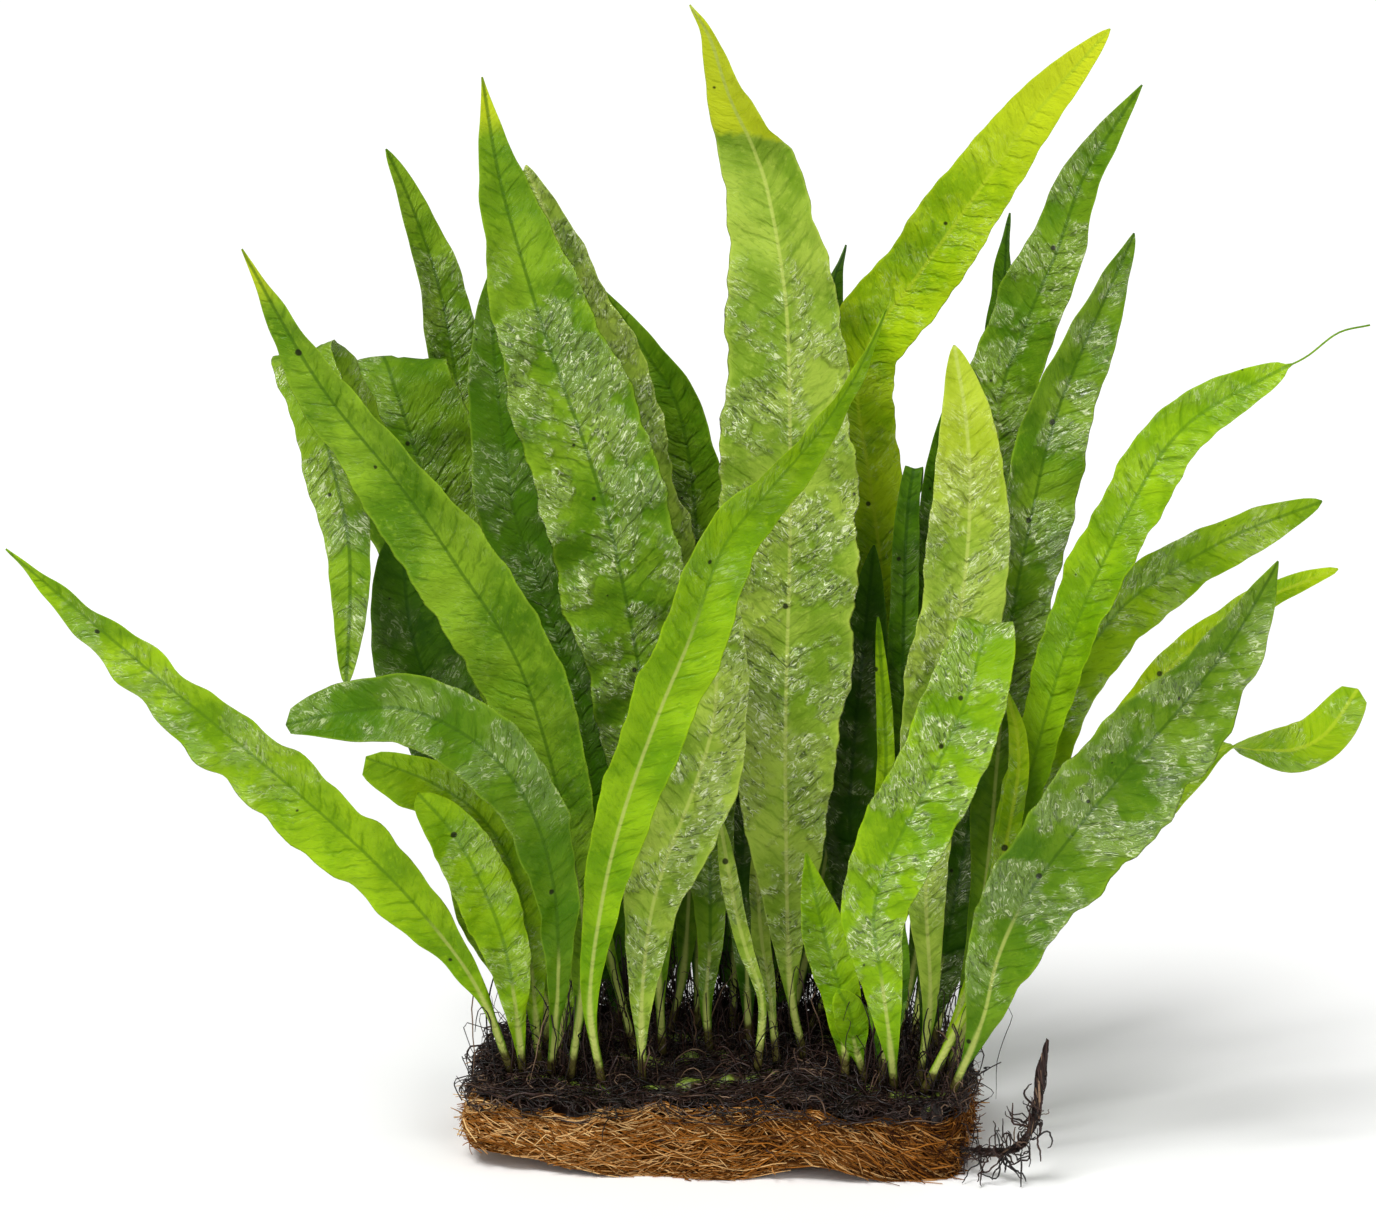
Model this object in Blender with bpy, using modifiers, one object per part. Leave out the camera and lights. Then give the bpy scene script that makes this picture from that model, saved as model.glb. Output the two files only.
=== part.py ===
"""Java fern grown on a coconut-fibre mat.

The mat lies flat with its centre at the origin. A tangle of dark roots covers it, creeping
rhizomes lie in the tangle, and the long leaves stand on the rhizomes.

Sizes are in millimetres here and become metres when a mesh is made.
"""

import math
from dataclasses import dataclass

import bmesh
import bpy
import numpy as np

MM = 0.001

# Coconut-fibre mat
MAT_LENGTH = 120.0
MAT_DEPTH = 72.0
MAT_THICKNESS = 12.5
MAT_YAW = math.radians(-5.0)
MAT_CELLS = (16, 10)
MAT_CORNER = 5.0
EDGE_SHARPNESS = 6
EDGE_WAVER = 0.9
EDGE_WAVE = 0.2

# Where the underside is off the ground: the front left corner, and an arch in the front edge
LIFT_HEIGHT = 5.0
LIFT_STARTS = (-12.0, 16.0)
LIFT_RUN = (48.0, 46.0)
ARCH_HEIGHT = 4.5
ARCH_ACROSS = 27.0
ARCH_SPREAD = 13.0
ARCH_STARTS = -12.0
ARCH_RUN = 24.0

# Root tangle on the mat
FIT_GAP = 0.3
TANGLE_TOP = 18.8
TANGLE_LUMP = 0.66
TANGLE_WAVES = (0.31, 0.37, 0.17, 0.29)
TANGLE_CELLS = (20, 12)
TANGLE_OVERHANG = 1.2
HUMP_AT = (21.0, -24.0)
HUMP_SPREAD = 8.0
HUMP_HEIGHT = 5.0
RIDGE_AT = 36.5
RIDGE_SPREAD = 6.0
RIDGE_HEIGHT = 9.5
RIDGE_LUMP = 0.2
RIDGE_WAVE = 0.23
RIDGE_ENDS = 54.0
RIDGE_FADE = 14.0

# Creeping rhizomes
RHIZOME_RADIUS = 2.7
RHIZOME_KNOB = 0.14
RHIZOME_STEP = 6.0
RHIZOME_END = 0.6
RHIZOME_AXIS = 17.4
MIN_KNOTS = 4
TUBE_SIDES = 6
WELD_GAP = 0.01
KNOB_RADIUS = RHIZOME_RADIUS * (1.0 + RHIZOME_KNOB)
GROOVE_RADIUS = (KNOB_RADIUS + FIT_GAP) / math.cos(math.pi / TUBE_SIDES)

# Bunch of loose roots beside the mat, from its end up into the air
SIDE_ROOTS = ((58.7, -32.6, 6), (66, -37.5, 7), (73, -43, 10), (77, -44, 17), (78.5, -44, 28), (80, -44, 38))
SIDE_ROOT_RADII = (1.9, 1.5, 1.3, 1.6, 1.8, 0.6)

# Leaves
LEAF_THICKNESS = 1.1
STALK_HALF = 1.4
TIP_HALF = 0.7
LEAF_SEAT = RHIZOME_AXIS + KNOB_RADIUS + 2.0 * FIT_GAP
ROW_PITCH = 17.0
ROW_TURN = 30.0
MIN_ROWS = 6
ROUTE_STEPS = 24

# The eye that the leaf routes are written for
EYE_ELEVATION = math.radians(12.0)
EYE_DISTANCE = 1500.0
AIM_ACROSS = -8.5
AIM_RISE = 133.25


@dataclass
class Leaf:
    """One leaf: where its stalk starts, and the route of its midrib to the tip.

    foot is the stalk's start on a rhizome, as X and Y. Each route point is across and
    up as the eye sees it in the plane Y = 0, and then its depth Y. roll turns the blade
    about its midrib, in degrees, at even steps from foot to tip. stalk and thread are
    the shares of the length that have no blade, at the foot and at the tip. rise and
    taper are how slowly the blade widens up to its widest place and narrows past it.
    """

    foot: tuple
    route: tuple
    width: float
    stalk: float = 0.05
    widest: float = 0.49
    rise: float = 1.35
    taper: float = 2.0
    thread: float = 0.0
    roll: tuple = (0.0, 0.0, 0.0)
    fold: float = 12.0
    side: tuple = None
    tone: str = "mid"


RHIZOMES = {
    "rhizome_left": ((-57, -10), (-50, -13), (-42, -15), (-34, -22), (-27, -25)),
    "rhizome_front": ((-21, -21), (-12, -22), (-2, -15), (8, -13), (17, -4), (24, 1)),
    "rhizome_right": ((29, -19), (36, -22), (45, -31), (53, -31), (56, -20), (57, -10)),
    "rhizome_middle": ((-49, 2), (-40, 5), (-30, 7), (-18, 1), (-8, 5), (4, 8), (11, 12)),
    "rhizome_back": ((-44, 25), (-30, 24), (-14, 22), (2, 25), (17, 26), (32, 20), (44, 12), (55, 6)),
}

LEAVES = (
    # Left side, from the front
    Leaf(foot=(-53, -13), width=23, stalk=0.08, widest=0.47, tone="bright", roll=(10, 20, 30),
         route=((-62, 41, -18), (-81, 65, -24), (-107, 89, -31), (-141, 117, -38), (-179, 149, -45))),
    Leaf(foot=(-38, -19), width=25, widest=0.54, taper=2.5, tone="mid", roll=(0, 12, 25),
         route=((-35, 41, -24), (-36, 66, -29), (-49, 116, -38), (-67, 146, -42), (-82, 167, -45),
                (-101, 191, -48), (-120, 224, -52))),
    Leaf(foot=(-43, -17), width=20, widest=0.7, taper=1.2, tone="mid", roll=(0, -15, -20),
         route=((-41, 46, -32), (-43, 69, -42), (-50, 88, -52), (-62, 101, -58), (-79, 109, -62),
                (-95, 108, -64), (-109, 105, -62))),
    Leaf(foot=(-46, -11), width=20, widest=0.73, taper=1.1, tone="bright", roll=(0, 10, 10),
         route=((-48, 48, -19), (-52, 68, -27), (-60, 82, -34), (-73, 91, -40), (-89, 97, -46))),
    Leaf(foot=(-50, -15), width=17, widest=0.65, taper=1.5, tone="bright", roll=(0, -10, -10),
         route=((-52, 37, -22), (-55, 52, -30), (-61, 67, -39), (-68, 79, -47), (-76, 88, -53))),
    Leaf(foot=(-52, -8), width=13, stalk=0.3, widest=0.54, taper=1.4, tone="mid", roll=(0, 15, 0),
         route=((-52, 35, -9), (-55, 47, -12), (-60, 57, -15), (-67, 68, -18))),
    Leaf(foot=(-42, -12), width=15, widest=0.56, taper=2.2, tone="mid", roll=(0, 10, 0),
         route=((-40, 36, -9), (-43, 56, -11), (-46, 76, -13), (-50, 98, -16))),
    Leaf(foot=(-44, 4), width=25, widest=0.65, taper=1.7, tone="deep",
         route=((-46, 56, 0), (-58, 88, -4), (-71, 110, -8), (-78, 130, -11), (-80, 156, -14))),
    Leaf(foot=(-38, 6), width=17, widest=0.65, taper=1.8, tone="mid", side=(1.0, 0.2),
         route=((-44, 60, 12), (-60, 105, 14), (-80, 150, 10), (-95, 185, 0), (-104, 198, -13),
                (-101, 184, -26), (-94, 155, -33), (-93, 137, -35), (-94, 115, -35))),
    Leaf(foot=(-31, 8), width=33, widest=0.65, taper=1.5, tone="mid", side=(1.0, 0.0),
         route=((-42, 70, 16), (-58, 125, 22), (-72, 160, 24), (-81, 187, 23), (-85, 197, 30),
                (-88, 190, 40), (-91, 170, 46), (-92, 150, 50))),
    Leaf(foot=(-22, 3), width=18, widest=0.65, taper=2.2, tone="mid", roll=(0, -15, -35),
         route=((-34, 70, 27), (-51, 130, 40), (-64, 178, 49), (-70, 211, 50), (-77, 233, 49),
                (-84, 249, 47))),
    # Middle, from the front
    Leaf(foot=(-30, -24), width=19, widest=0.54, taper=2.2, tone="bright", roll=(0, -10, -58),
         route=((-33, 36, -30), (-30, 61, -35), (-25, 82, -40), (-17, 105, -44), (-8, 127, -46),
                (0, 149, -46), (11, 163, -43), (23, 177, -40), (33, 192, -38), (41, 209, -36))),
    Leaf(foot=(-20, -21), width=23, widest=0.65, taper=1.7, tone="pale", roll=(0, 12, 20),
         route=((-20, 36, -23), (-18, 56, -24), (-14, 71, -26), (-7, 89, -28), (-2, 106, -28),
                (-1, 124, -26), (1, 141, -23))),
    Leaf(foot=(-15, 2), width=34, widest=0.56, taper=2.7, tone="mid", roll=(0, -5, -22),
         route=((-16, 46, -6), (-18, 99, -13), (-26, 146, -16), (-33, 171, -16), (-42, 196, -15),
                (-50, 221, -13), (-56, 243, -10), (-60, 267, -5))),
    Leaf(foot=(-34, 6), width=20, widest=0.65, taper=2.2, tone="mid", roll=(0, 15, 10),
         route=((-33, 46, 0), (-33, 96, 1), (-44, 136, 1), (-52, 159, 1), (-57, 199, 4), (-57, 220, 6))),
    Leaf(foot=(-21, 23), width=22, widest=0.69, taper=2.1, tone="pale", roll=(0, 10, 30),
         route=((-20, 50, 15), (-18, 100, 13), (-15, 140, 12), (-25, 188, 12), (-36, 214, 13),
                (-49, 245, 14))),
    Leaf(foot=(-13, 22), width=20, widest=0.52, tone="mid",
         route=((-9, 50, 24), (-7, 100, 27), (-6, 146, 28), (-10, 181, 28), (-19, 198, 28),
                (-31, 215, 28))),
    Leaf(foot=(-6, 24), width=21, widest=0.65, taper=2.2, tone="deep",
         route=((-6, 60, 34), (-7, 110, 41), (-7, 150, 44), (-9, 190, 45))),
    Leaf(foot=(21, -2), width=37, widest=0.46, tone="pale", roll=(0, 6, 24),
         route=((17, 41, -4), (16, 79, -7), (16, 111, -8), (17, 150, -7), (17, 182, -5), (16, 211, -2),
                (12, 236, 3), (8, 249, 6), (2, 262, 0), (-3, 277, -8), (-8, 285, -12))),
    Leaf(foot=(7, 9), width=14, widest=0.65, taper=2.2, tone="deep",
         route=((6, 50, 9), (5, 69, 9), (6, 86, 8), (8, 115, 7))),
    Leaf(foot=(-3, 6), width=15, widest=0.73, tone="mid",
         route=((-4, 36, 4), (-3, 51, 4), (-3, 74, 4), (-3, 118, 5))),
    Leaf(foot=(9, -13), width=6, stalk=0.25, widest=0.6, taper=2.5, tone="pale",
         route=((10, 36, -13), (6, 49, -14), (3, 61, -15), (-1, 84, -17))),
    Leaf(foot=(14, -7), width=6, stalk=0.2, widest=0.56, taper=2.1, tone="pale", roll=(0, 20, 0),
         route=((12, 39, 1), (10, 52, 3), (9, 64, 3), (8, 76, 2))),
    Leaf(foot=(31, -20), width=13, widest=0.51, taper=2.1, tone="bright",
         route=((30, 36, -19), (27, 47, -19), (24, 59, -20), (21, 73, -21))),
    Leaf(foot=(36, -22), width=10, stalk=0.2, widest=0.61, taper=1.5, tone="bright",
         route=((33, 26, -26), (32, 33, -29), (29, 39, -32))),
    Leaf(foot=(28, 22), width=17, widest=0.6, taper=2.1, tone="deep",
         route=((32, 61, 14), (32, 86, 12), (34, 111, 12), (38, 150, 12))),
    Leaf(foot=(33, 20), width=22, widest=0.66, taper=2.2, tone="yellow", roll=(0, 0, 20, 38),
         route=((36, 61, 26), (39, 110, 27), (40, 140, 27), (37, 166, 27), (34, 187, 26), (37, 201, 24),
                (48, 216, 20), (61, 234, 13), (77, 256, 3), (97, 279, -12))),
    Leaf(foot=(18, 26), width=17, widest=0.6, taper=2.1, tone="deep", roll=(0, -20, -45),
         route=((27, 80, 34), (29, 130, 39), (30, 161, 40), (28, 190, 40), (27, 212, 39),
                (31, 225, 36))),
    # Right side, from the front
    Leaf(foot=(43, -28), width=24, widest=0.63, taper=1.4, tone="bright",
         route=((42, 26, -38), (40, 41, -42), (38, 58, -45), (43, 74, -48), (52, 91, -49),
                (60, 109, -47), (65, 125, -43), (66, 130, -38), (66, 124, -33))),
    Leaf(foot=(57, -33), width=33, stalk=0.06, widest=0.55, taper=2.1, tone="mid", roll=(0, -12, -28),
         route=((65, 31, -43), (69, 47, -46), (76, 62, -49), (87, 77, -52), (101, 94, -55),
                (115, 110, -57), (128, 127, -58), (139, 146, -58))),
    Leaf(foot=(50, -32), width=15, stalk=0.12, widest=0.75, taper=1.1, tone="yellow",
         roll=(0, 0, -10, -20, -10, 20, 90, 180, 200), fold=6.0,
         route=((66, 42, -34), (82, 63, -35), (97, 76, -36), (112, 90, -36), (126, 99, -35),
                (134, 99, -34), (143, 99, -33), (151, 103, -32), (159, 114, -30))),
    Leaf(foot=(40, -26), width=12, widest=0.56, taper=2.2, tone="deep",
         route=((41, 34, -21), (42, 45, -19), (43, 61, -18))),
    Leaf(foot=(49, -27), width=23, widest=0.65, taper=2.2, tone="pale",
         route=((52, 36, -24), (51, 61, -23), (51, 86, -23), (55, 111, -23), (60, 136, -21),
                (62, 161, -18), (61, 181, -14), (58, 200, -9))),
    Leaf(foot=(56, -22), width=17, widest=0.72, taper=1.9, thread=0.1, tone="bright",
         roll=(0, 15, 30, 15, 0),
         route=((67, 49, -25), (73, 76, -26), (83, 114, -28), (89, 131, -29), (95, 145, -30),
                (102, 159, -31), (110, 173, -32), (120, 183, -32), (138, 193, -31), (146, 197, -30),
                (154, 203, -28), (162, 205, -27))),
    Leaf(foot=(57, -16), width=19, widest=0.68, taper=2.1, tone="bright", roll=(0, -12, -30),
         route=((66, 46, -17), (71, 71, -17), (78, 95, -18), (85, 112, -18), (93, 126, -18),
                (104, 138, -18), (127, 152, -15), (150, 161, -9))),
    Leaf(foot=(53, -24), width=7, stalk=0.3, widest=0.66, taper=2.3, tone="yellow",
         route=((66, 55, -34), (73, 86, -38), (74, 101, -38), (71, 114, -37))),
    Leaf(foot=(57, -10), width=22, widest=0.65, taper=2.2, tone="mid", roll=(0, -10, -34),
         route=((65, 60, -9), (69, 99, -10), (71, 124, -10), (78, 161, -10), (83, 181, -9),
                (90, 199, -7), (103, 228, -2))),
    Leaf(foot=(54, 6), width=21, widest=0.63, taper=2.6, tone="mid", roll=(0, 12, 32),
         route=((60, 60, 6), (68, 100, 7), (70, 131, 8), (69, 181, 8), (76, 205, 7), (84, 224, 4),
                (91, 243, 1), (105, 265, -6))),
    Leaf(foot=(57, -3), width=10, widest=0.73, tone="yellow", roll=(0, 20, 35),
         route=((70, 50, -1), (90, 88, -3), (110, 117, -2), (127, 131, 0), (137, 137, 2),
                (154, 144, 6))),
    Leaf(foot=(41, 14), width=9, widest=0.65, taper=1.5, tone="deep",
         route=((44, 60, 6), (45, 110, 5), (46, 152, 6), (48, 169, 9), (49, 162, 15))),
    Leaf(foot=(37, 17), width=6, widest=0.65, taper=2.2, tone="bright",
         route=((40, 49, 3), (40, 79, -2), (41, 99, -3), (39, 132, -3))),
    Leaf(foot=(45, 12), width=16, widest=0.65, taper=2.2, tone="deep",
         route=((50, 60, 14), (51, 110, 18), (54, 150, 20), (57, 187, 20))),
    Leaf(foot=(49, 10), width=14, widest=0.65, taper=2.2, tone="deep", roll=(0, 25, 50),
         route=((54, 70, 26), (63, 130, 30), (69, 186, 30), (71, 221, 29), (72, 233, 28))),
    # Behind
    Leaf(foot=(-43, 25), width=24, stalk=0.08, widest=0.36, taper=1.8, rise=0.55, tone="mid",
         roll=(0, 30, 50),
         route=((-50, 70, 40), (-62, 108, 52), (-78, 140, 60), (-96, 166, 66))),
    Leaf(foot=(-36, 24), width=26, stalk=0.06, widest=0.36, taper=1.8, rise=0.55, tone="deep",
         roll=(0, -20, -45),
         route=((-26, 80, 46), (-32, 130, 60), (-42, 180, 68), (-50, 212, 70))),
    Leaf(foot=(3, 25), width=24, stalk=0.06, widest=0.36, taper=1.8, rise=0.55, tone="deep",
         roll=(0, 20, 50),
         route=((4, 80, 52), (8, 130, 62), (12, 175, 68), (14, 205, 70))),
    Leaf(foot=(11, 26), width=24, stalk=0.06, widest=0.36, taper=1.8, rise=0.55, tone="deep",
         roll=(0, -15, -40),
         route=((20, 62, 50), (25, 95, 68), (28, 122, 80), (30, 140, 86))),
    Leaf(foot=(23, 24), width=22, stalk=0.06, widest=0.36, taper=1.8, rise=0.55, tone="mid",
         roll=(0, -25, -50),
         route=((46, 80, 46), (53, 120, 56), (59, 150, 62), (66, 172, 66))),
    Leaf(foot=(-28, 24), width=22, stalk=0.06, widest=0.36, taper=1.8, rise=0.55, tone="deep",
         roll=(0, 15, 40),
         route=((-20, 46, 46), (-14, 72, 66), (-10, 92, 80), (-8, 104, 90))),
    Leaf(foot=(50, -4), width=17, widest=0.45, tone="deep",
         route=((55, 46, -4), (59, 66, -3), (63, 88, -2), (66, 112, -1))),
)

TONES = {
    "bright": (0.17, 0.38, 0.01, 0.35),
    "mid": (0.11, 0.27, 0.02, 0.38),
    "deep": (0.04, 0.15, 0.015, 0.36),
    "yellow": (0.38, 0.52, 0.02, 0.40),
    "pale": (0.26, 0.40, 0.08, 0.30),
}


def clear_scene():
    """Remove everything that the new file starts with."""
    for item in list(bpy.data.objects):
        bpy.data.objects.remove(item)


def new_collection(name):
    """Return a new collection linked to the scene."""
    collection = bpy.data.collections.new(name)
    bpy.context.scene.collection.children.link(collection)
    return collection


def new_material(name, colour, roughness):
    """Return a Principled material with a plain colour."""
    material = bpy.data.materials.new(name)
    material.use_nodes = True
    shader = material.node_tree.nodes["Principled BSDF"]
    shader.inputs["Base Color"].default_value = (*colour, 1.0)
    shader.inputs["Roughness"].default_value = roughness
    shader.inputs["Metallic"].default_value = 0.0
    return material


def add_object(name, data, collection, material):
    """Place a mesh or curve in the collection under its own material."""
    item = bpy.data.objects.new(name, data)
    data.materials.append(material)
    collection.objects.link(item)
    return item


def ease(value):
    """Return 0 to 1 with soft ends for a value that runs from 0 to 1."""
    held = np.clip(value, 0.0, 1.0)
    return held * held * (3.0 - 2.0 * held)


def seen(across, rise, depth):
    """Return the point at a given depth that the eye sees at across and rise."""
    up = np.array((0.0, math.sin(EYE_ELEVATION), math.cos(EYE_ELEVATION)))
    back = np.array((0.0, -math.cos(EYE_ELEVATION), math.sin(EYE_ELEVATION)))
    aim = np.array((AIM_ACROSS, 0.0, AIM_RISE / math.cos(EYE_ELEVATION)))
    eye = aim + EYE_DISTANCE * back
    on_plane = aim + np.array((across - AIM_ACROSS, 0.0, 0.0)) + (rise - AIM_RISE) * up
    reach = (depth - eye[1]) / (on_plane[1] - eye[1])
    return eye + reach * (on_plane - eye)


def smooth_route(keys, count):
    """Return count points, evenly spaced along a soft curve through the keys."""
    keys = np.asarray(keys, dtype=float)
    ends = np.vstack((2.0 * keys[0] - keys[1], keys, 2.0 * keys[-1] - keys[-2]))
    step = np.linspace(0.0, 1.0, ROUTE_STEPS, endpoint=False)[None, :, None]
    before, start, stop, after = (ends[i:len(ends) - 3 + i, None, :] for i in range(4))
    curve = 0.5 * (2.0 * start + (stop - before) * step
                   + (2.0 * before - 5.0 * start + 4.0 * stop - after) * step ** 2
                   + (3.0 * start - before - 3.0 * stop + after) * step ** 3)
    dense = np.vstack((curve.reshape(-1, keys.shape[1]), keys[-1]))
    run = np.concatenate(((0.0,), np.cumsum(np.linalg.norm(np.diff(dense, axis=0), axis=1))))
    even = np.linspace(0.0, run[-1], count)
    return np.stack([np.interp(even, run, dense[:, axis]) for axis in range(keys.shape[1])], axis=1)


def route_length(keys):
    """Return the length of the straight runs between the keys."""
    return float(np.sum(np.linalg.norm(np.diff(keys, axis=0), axis=1)))


def unit(vectors):
    """Return the vectors at length one."""
    return vectors / np.linalg.norm(vectors, axis=-1, keepdims=True)


def leaf_keys(leaf):
    """Return the points in space that the leaf's midrib passes."""
    foot = (*leaf.foot, LEAF_SEAT)
    return np.array([foot] + [seen(*point) for point in leaf.route])


def blade_half(leaf, along):
    """Return half the leaf's width at each place along it, 0 at the foot and 1 at the tip."""
    blade = np.clip((along - leaf.stalk) / (1.0 - leaf.stalk - leaf.thread), 0.0, 1.0)
    rising = (blade / leaf.widest) ** leaf.widest
    falling = ((1.0 - blade) / (1.0 - leaf.widest)) ** (1.0 - leaf.widest)
    power = np.where(blade < leaf.widest, leaf.rise / leaf.widest, leaf.taper)
    shape = (rising * falling) ** power
    least = STALK_HALF + (TIP_HALF - STALK_HALF) * blade
    return least + (0.5 * leaf.width - STALK_HALF) * shape


def leaf_surface(leaf, rows, columns):
    """Return a grid of points on the leaf, rows along it and columns across it."""
    keys = leaf_keys(leaf)
    middle = smooth_route(keys, rows + 1)
    tangent = unit(np.gradient(middle, axis=0))
    chord = keys[-1] - keys[0]
    side = np.array((leaf.side[0], 0.0, leaf.side[1])) if leaf.side else np.array((chord[2], 0.0, -chord[0]))
    across = unit(side - np.sum(tangent * side, axis=1, keepdims=True) * tangent)
    outward = np.cross(across, tangent)
    along = np.linspace(0.0, 1.0, rows + 1)
    stations = np.linspace(0.0, 1.0, len(leaf.roll))
    angle = np.radians(np.interp(along, stations, leaf.roll))[:, None]
    turned = across * np.cos(angle) + outward * np.sin(angle)
    facing = outward * np.cos(angle) - across * np.sin(angle)
    half = blade_half(leaf, along)
    place = np.linspace(-1.0, 1.0, columns + 1)[None, :, None]
    fold = math.radians(leaf.fold)
    reach = half[:, None, None]
    return (middle[:, None, :] + reach * place * math.cos(fold) * turned[:, None, :]
            + reach * np.abs(place) * math.sin(fold) * facing[:, None, :])


def leaf_rows(leaf):
    """Return how many rows of faces the leaf needs for its length and its turns."""
    turns = (max(leaf.roll) - min(leaf.roll)) / ROW_TURN
    return max(MIN_ROWS, round(route_length(leaf_keys(leaf)) / ROW_PITCH + turns))


def build_leaf(name, leaf, collection, material):
    """Add one leaf: a folded strip along its midrib, thickened to a closed solid."""
    rows = leaf_rows(leaf)
    surface = leaf_surface(leaf, rows, 2) * MM
    strip = bmesh.new()
    bmesh.ops.create_grid(strip, x_segments=2, y_segments=rows, size=1.0)
    strip.verts.ensure_lookup_table()
    for vert, point in zip(strip.verts, surface.reshape(-1, 3)):
        vert.co = point
    mesh = bpy.data.meshes.new(name)
    strip.to_mesh(mesh)
    strip.free()
    item = add_object(name, mesh, collection, material)
    shell = item.modifiers.new("Thickness", "SOLIDIFY")
    shell.thickness = LEAF_THICKNESS * MM
    shell.offset = 0.0
    mesh.shade_smooth()
    return item


def underside(along, depth):
    """Return how far the mat's underside is lifted off the ground."""
    leftward = ease((LIFT_STARTS[0] - along) / LIFT_RUN[0])
    forward = ease((LIFT_STARTS[1] - depth) / LIFT_RUN[1])
    arch = math.exp(-((along - ARCH_ACROSS) / ARCH_SPREAD) ** 2) * ease((ARCH_STARTS - depth) / ARCH_RUN)
    return LIFT_HEIGHT * leftward * forward + ARCH_HEIGHT * arch


def slab_outline(along, depth, length, width):
    """Draw a rectangle's points in at its corners, and let its edges waver."""
    end = abs(2.0 * along / length) ** EDGE_SHARPNESS
    side = abs(2.0 * depth / width) ** EDGE_SHARPNESS
    corner = MAT_CORNER * end * side
    end_waver = EDGE_WAVER * end * math.sin(EDGE_WAVE * depth + 1.0)
    side_waver = EDGE_WAVER * side * math.sin(EDGE_WAVE * along + 1.0)
    return (math.copysign(abs(along) - corner + end_waver, along),
            math.copysign(abs(depth) - corner + side_waver, depth))


def turn_to_world(along, depth):
    """Turn a place on the mat by the mat's yaw."""
    return (along * math.cos(MAT_YAW) - depth * math.sin(MAT_YAW),
            along * math.sin(MAT_YAW) + depth * math.cos(MAT_YAW))


def build_mat(collection, material):
    """Add the coconut-fibre mat: a slab with lifted, rounded edges and a flat underside."""
    slab = bmesh.new()
    bmesh.ops.create_grid(slab, x_segments=MAT_CELLS[0], y_segments=MAT_CELLS[1], size=0.5)
    bottom = list(slab.faces)
    raised = bmesh.ops.extrude_face_region(slab, geom=bottom, use_keep_orig=True)
    top = {item for item in raised["geom"] if isinstance(item, bmesh.types.BMVert)}
    for vert in slab.verts:
        along, depth = slab_outline(vert.co.x * MAT_LENGTH, vert.co.y * MAT_DEPTH, MAT_LENGTH, MAT_DEPTH)
        height = MAT_THICKNESS if vert in top else underside(along, depth)
        x, y = turn_to_world(along, depth)
        vert.co = (x * MM, y * MM, height * MM)
    bmesh.ops.recalc_face_normals(slab, faces=slab.faces)
    mesh = bpy.data.meshes.new("coir_mat")
    slab.to_mesh(mesh)
    slab.free()
    return add_object("coir_mat", mesh, collection, material)


def tangle_height(x, y):
    """Return the height of the root tangle's lumpy top, with a hump in front and a ridge behind."""
    x_wave, y_wave, slant_x, slant_y = TANGLE_WAVES
    lumps = math.sin(x_wave * x) * math.sin(y_wave * y) + 0.5 * math.sin(slant_x * x - slant_y * y) - 0.5
    away = math.hypot(x - HUMP_AT[0], y - HUMP_AT[1]) / HUMP_SPREAD
    behind = (y - RIDGE_AT - math.tan(MAT_YAW) * x) / RIDGE_SPREAD
    crest = 1.0 - RIDGE_LUMP + RIDGE_LUMP * math.sin(RIDGE_WAVE * x)
    ridge = RIDGE_HEIGHT * crest * ease((RIDGE_ENDS - abs(x)) / RIDGE_FADE) * math.exp(-behind ** 2)
    return TANGLE_TOP + TANGLE_LUMP * lumps + HUMP_HEIGHT * math.exp(-away ** 2) + ridge


def build_tangle(collection, material, grooves):
    """Add the root tangle: a lumpy sheet over the mat with a groove for each rhizome."""
    sheet = bmesh.new()
    bmesh.ops.create_grid(sheet, x_segments=TANGLE_CELLS[0], y_segments=TANGLE_CELLS[1], size=0.5)
    rim = [edge for edge in sheet.edges if edge.is_boundary]
    lowered = bmesh.ops.extrude_edge_only(sheet, edges=rim)
    low_edges = [item for item in lowered["geom"] if isinstance(item, bmesh.types.BMEdge)]
    low_verts = {item for item in lowered["geom"] if isinstance(item, bmesh.types.BMVert)}
    length = MAT_LENGTH + 2.0 * TANGLE_OVERHANG
    width = MAT_DEPTH + 2.0 * TANGLE_OVERHANG
    for vert in sheet.verts:
        along, depth = slab_outline(vert.co.x * length, vert.co.y * width, length, width)
        x, y = turn_to_world(along, depth)
        height = MAT_THICKNESS + FIT_GAP if vert in low_verts else tangle_height(x, y)
        vert.co = (x * MM, y * MM, height * MM)
    bmesh.ops.contextual_create(sheet, geom=low_edges)
    bmesh.ops.recalc_face_normals(sheet, faces=sheet.faces)
    mesh = bpy.data.meshes.new("root_tangle")
    sheet.to_mesh(mesh)
    sheet.free()
    item = add_object("root_tangle", mesh, collection, material)
    for groove in grooves:
        cut = item.modifiers.new("Groove", "BOOLEAN")
        cut.operation = "DIFFERENCE"
        cut.object = groove
    return item


def tube_curve(name, points, radii):
    """Return a tube along the points, with its own radius at each and closed ends."""
    curve = bpy.data.curves.new(name, "CURVE")
    curve.dimensions = "3D"
    curve.bevel_depth = MM
    curve.bevel_resolution = (TUBE_SIDES - 4) // 2
    curve.use_fill_caps = True
    spline = curve.splines.new("POLY")
    spline.points.add(len(points) - 1)
    for knot, point, radius in zip(spline.points, points, radii):
        knot.co = (*(value * MM for value in point), 1.0)
        knot.radius = radius
    return curve


def rhizome_points(keys):
    """Return evenly spaced points along a rhizome's route on the mat."""
    steps = round(route_length(np.array(keys, dtype=float)) / RHIZOME_STEP)
    return [(x, y, RHIZOME_AXIS) for x, y in smooth_route(keys, max(MIN_KNOTS, steps + 1))]


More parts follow.
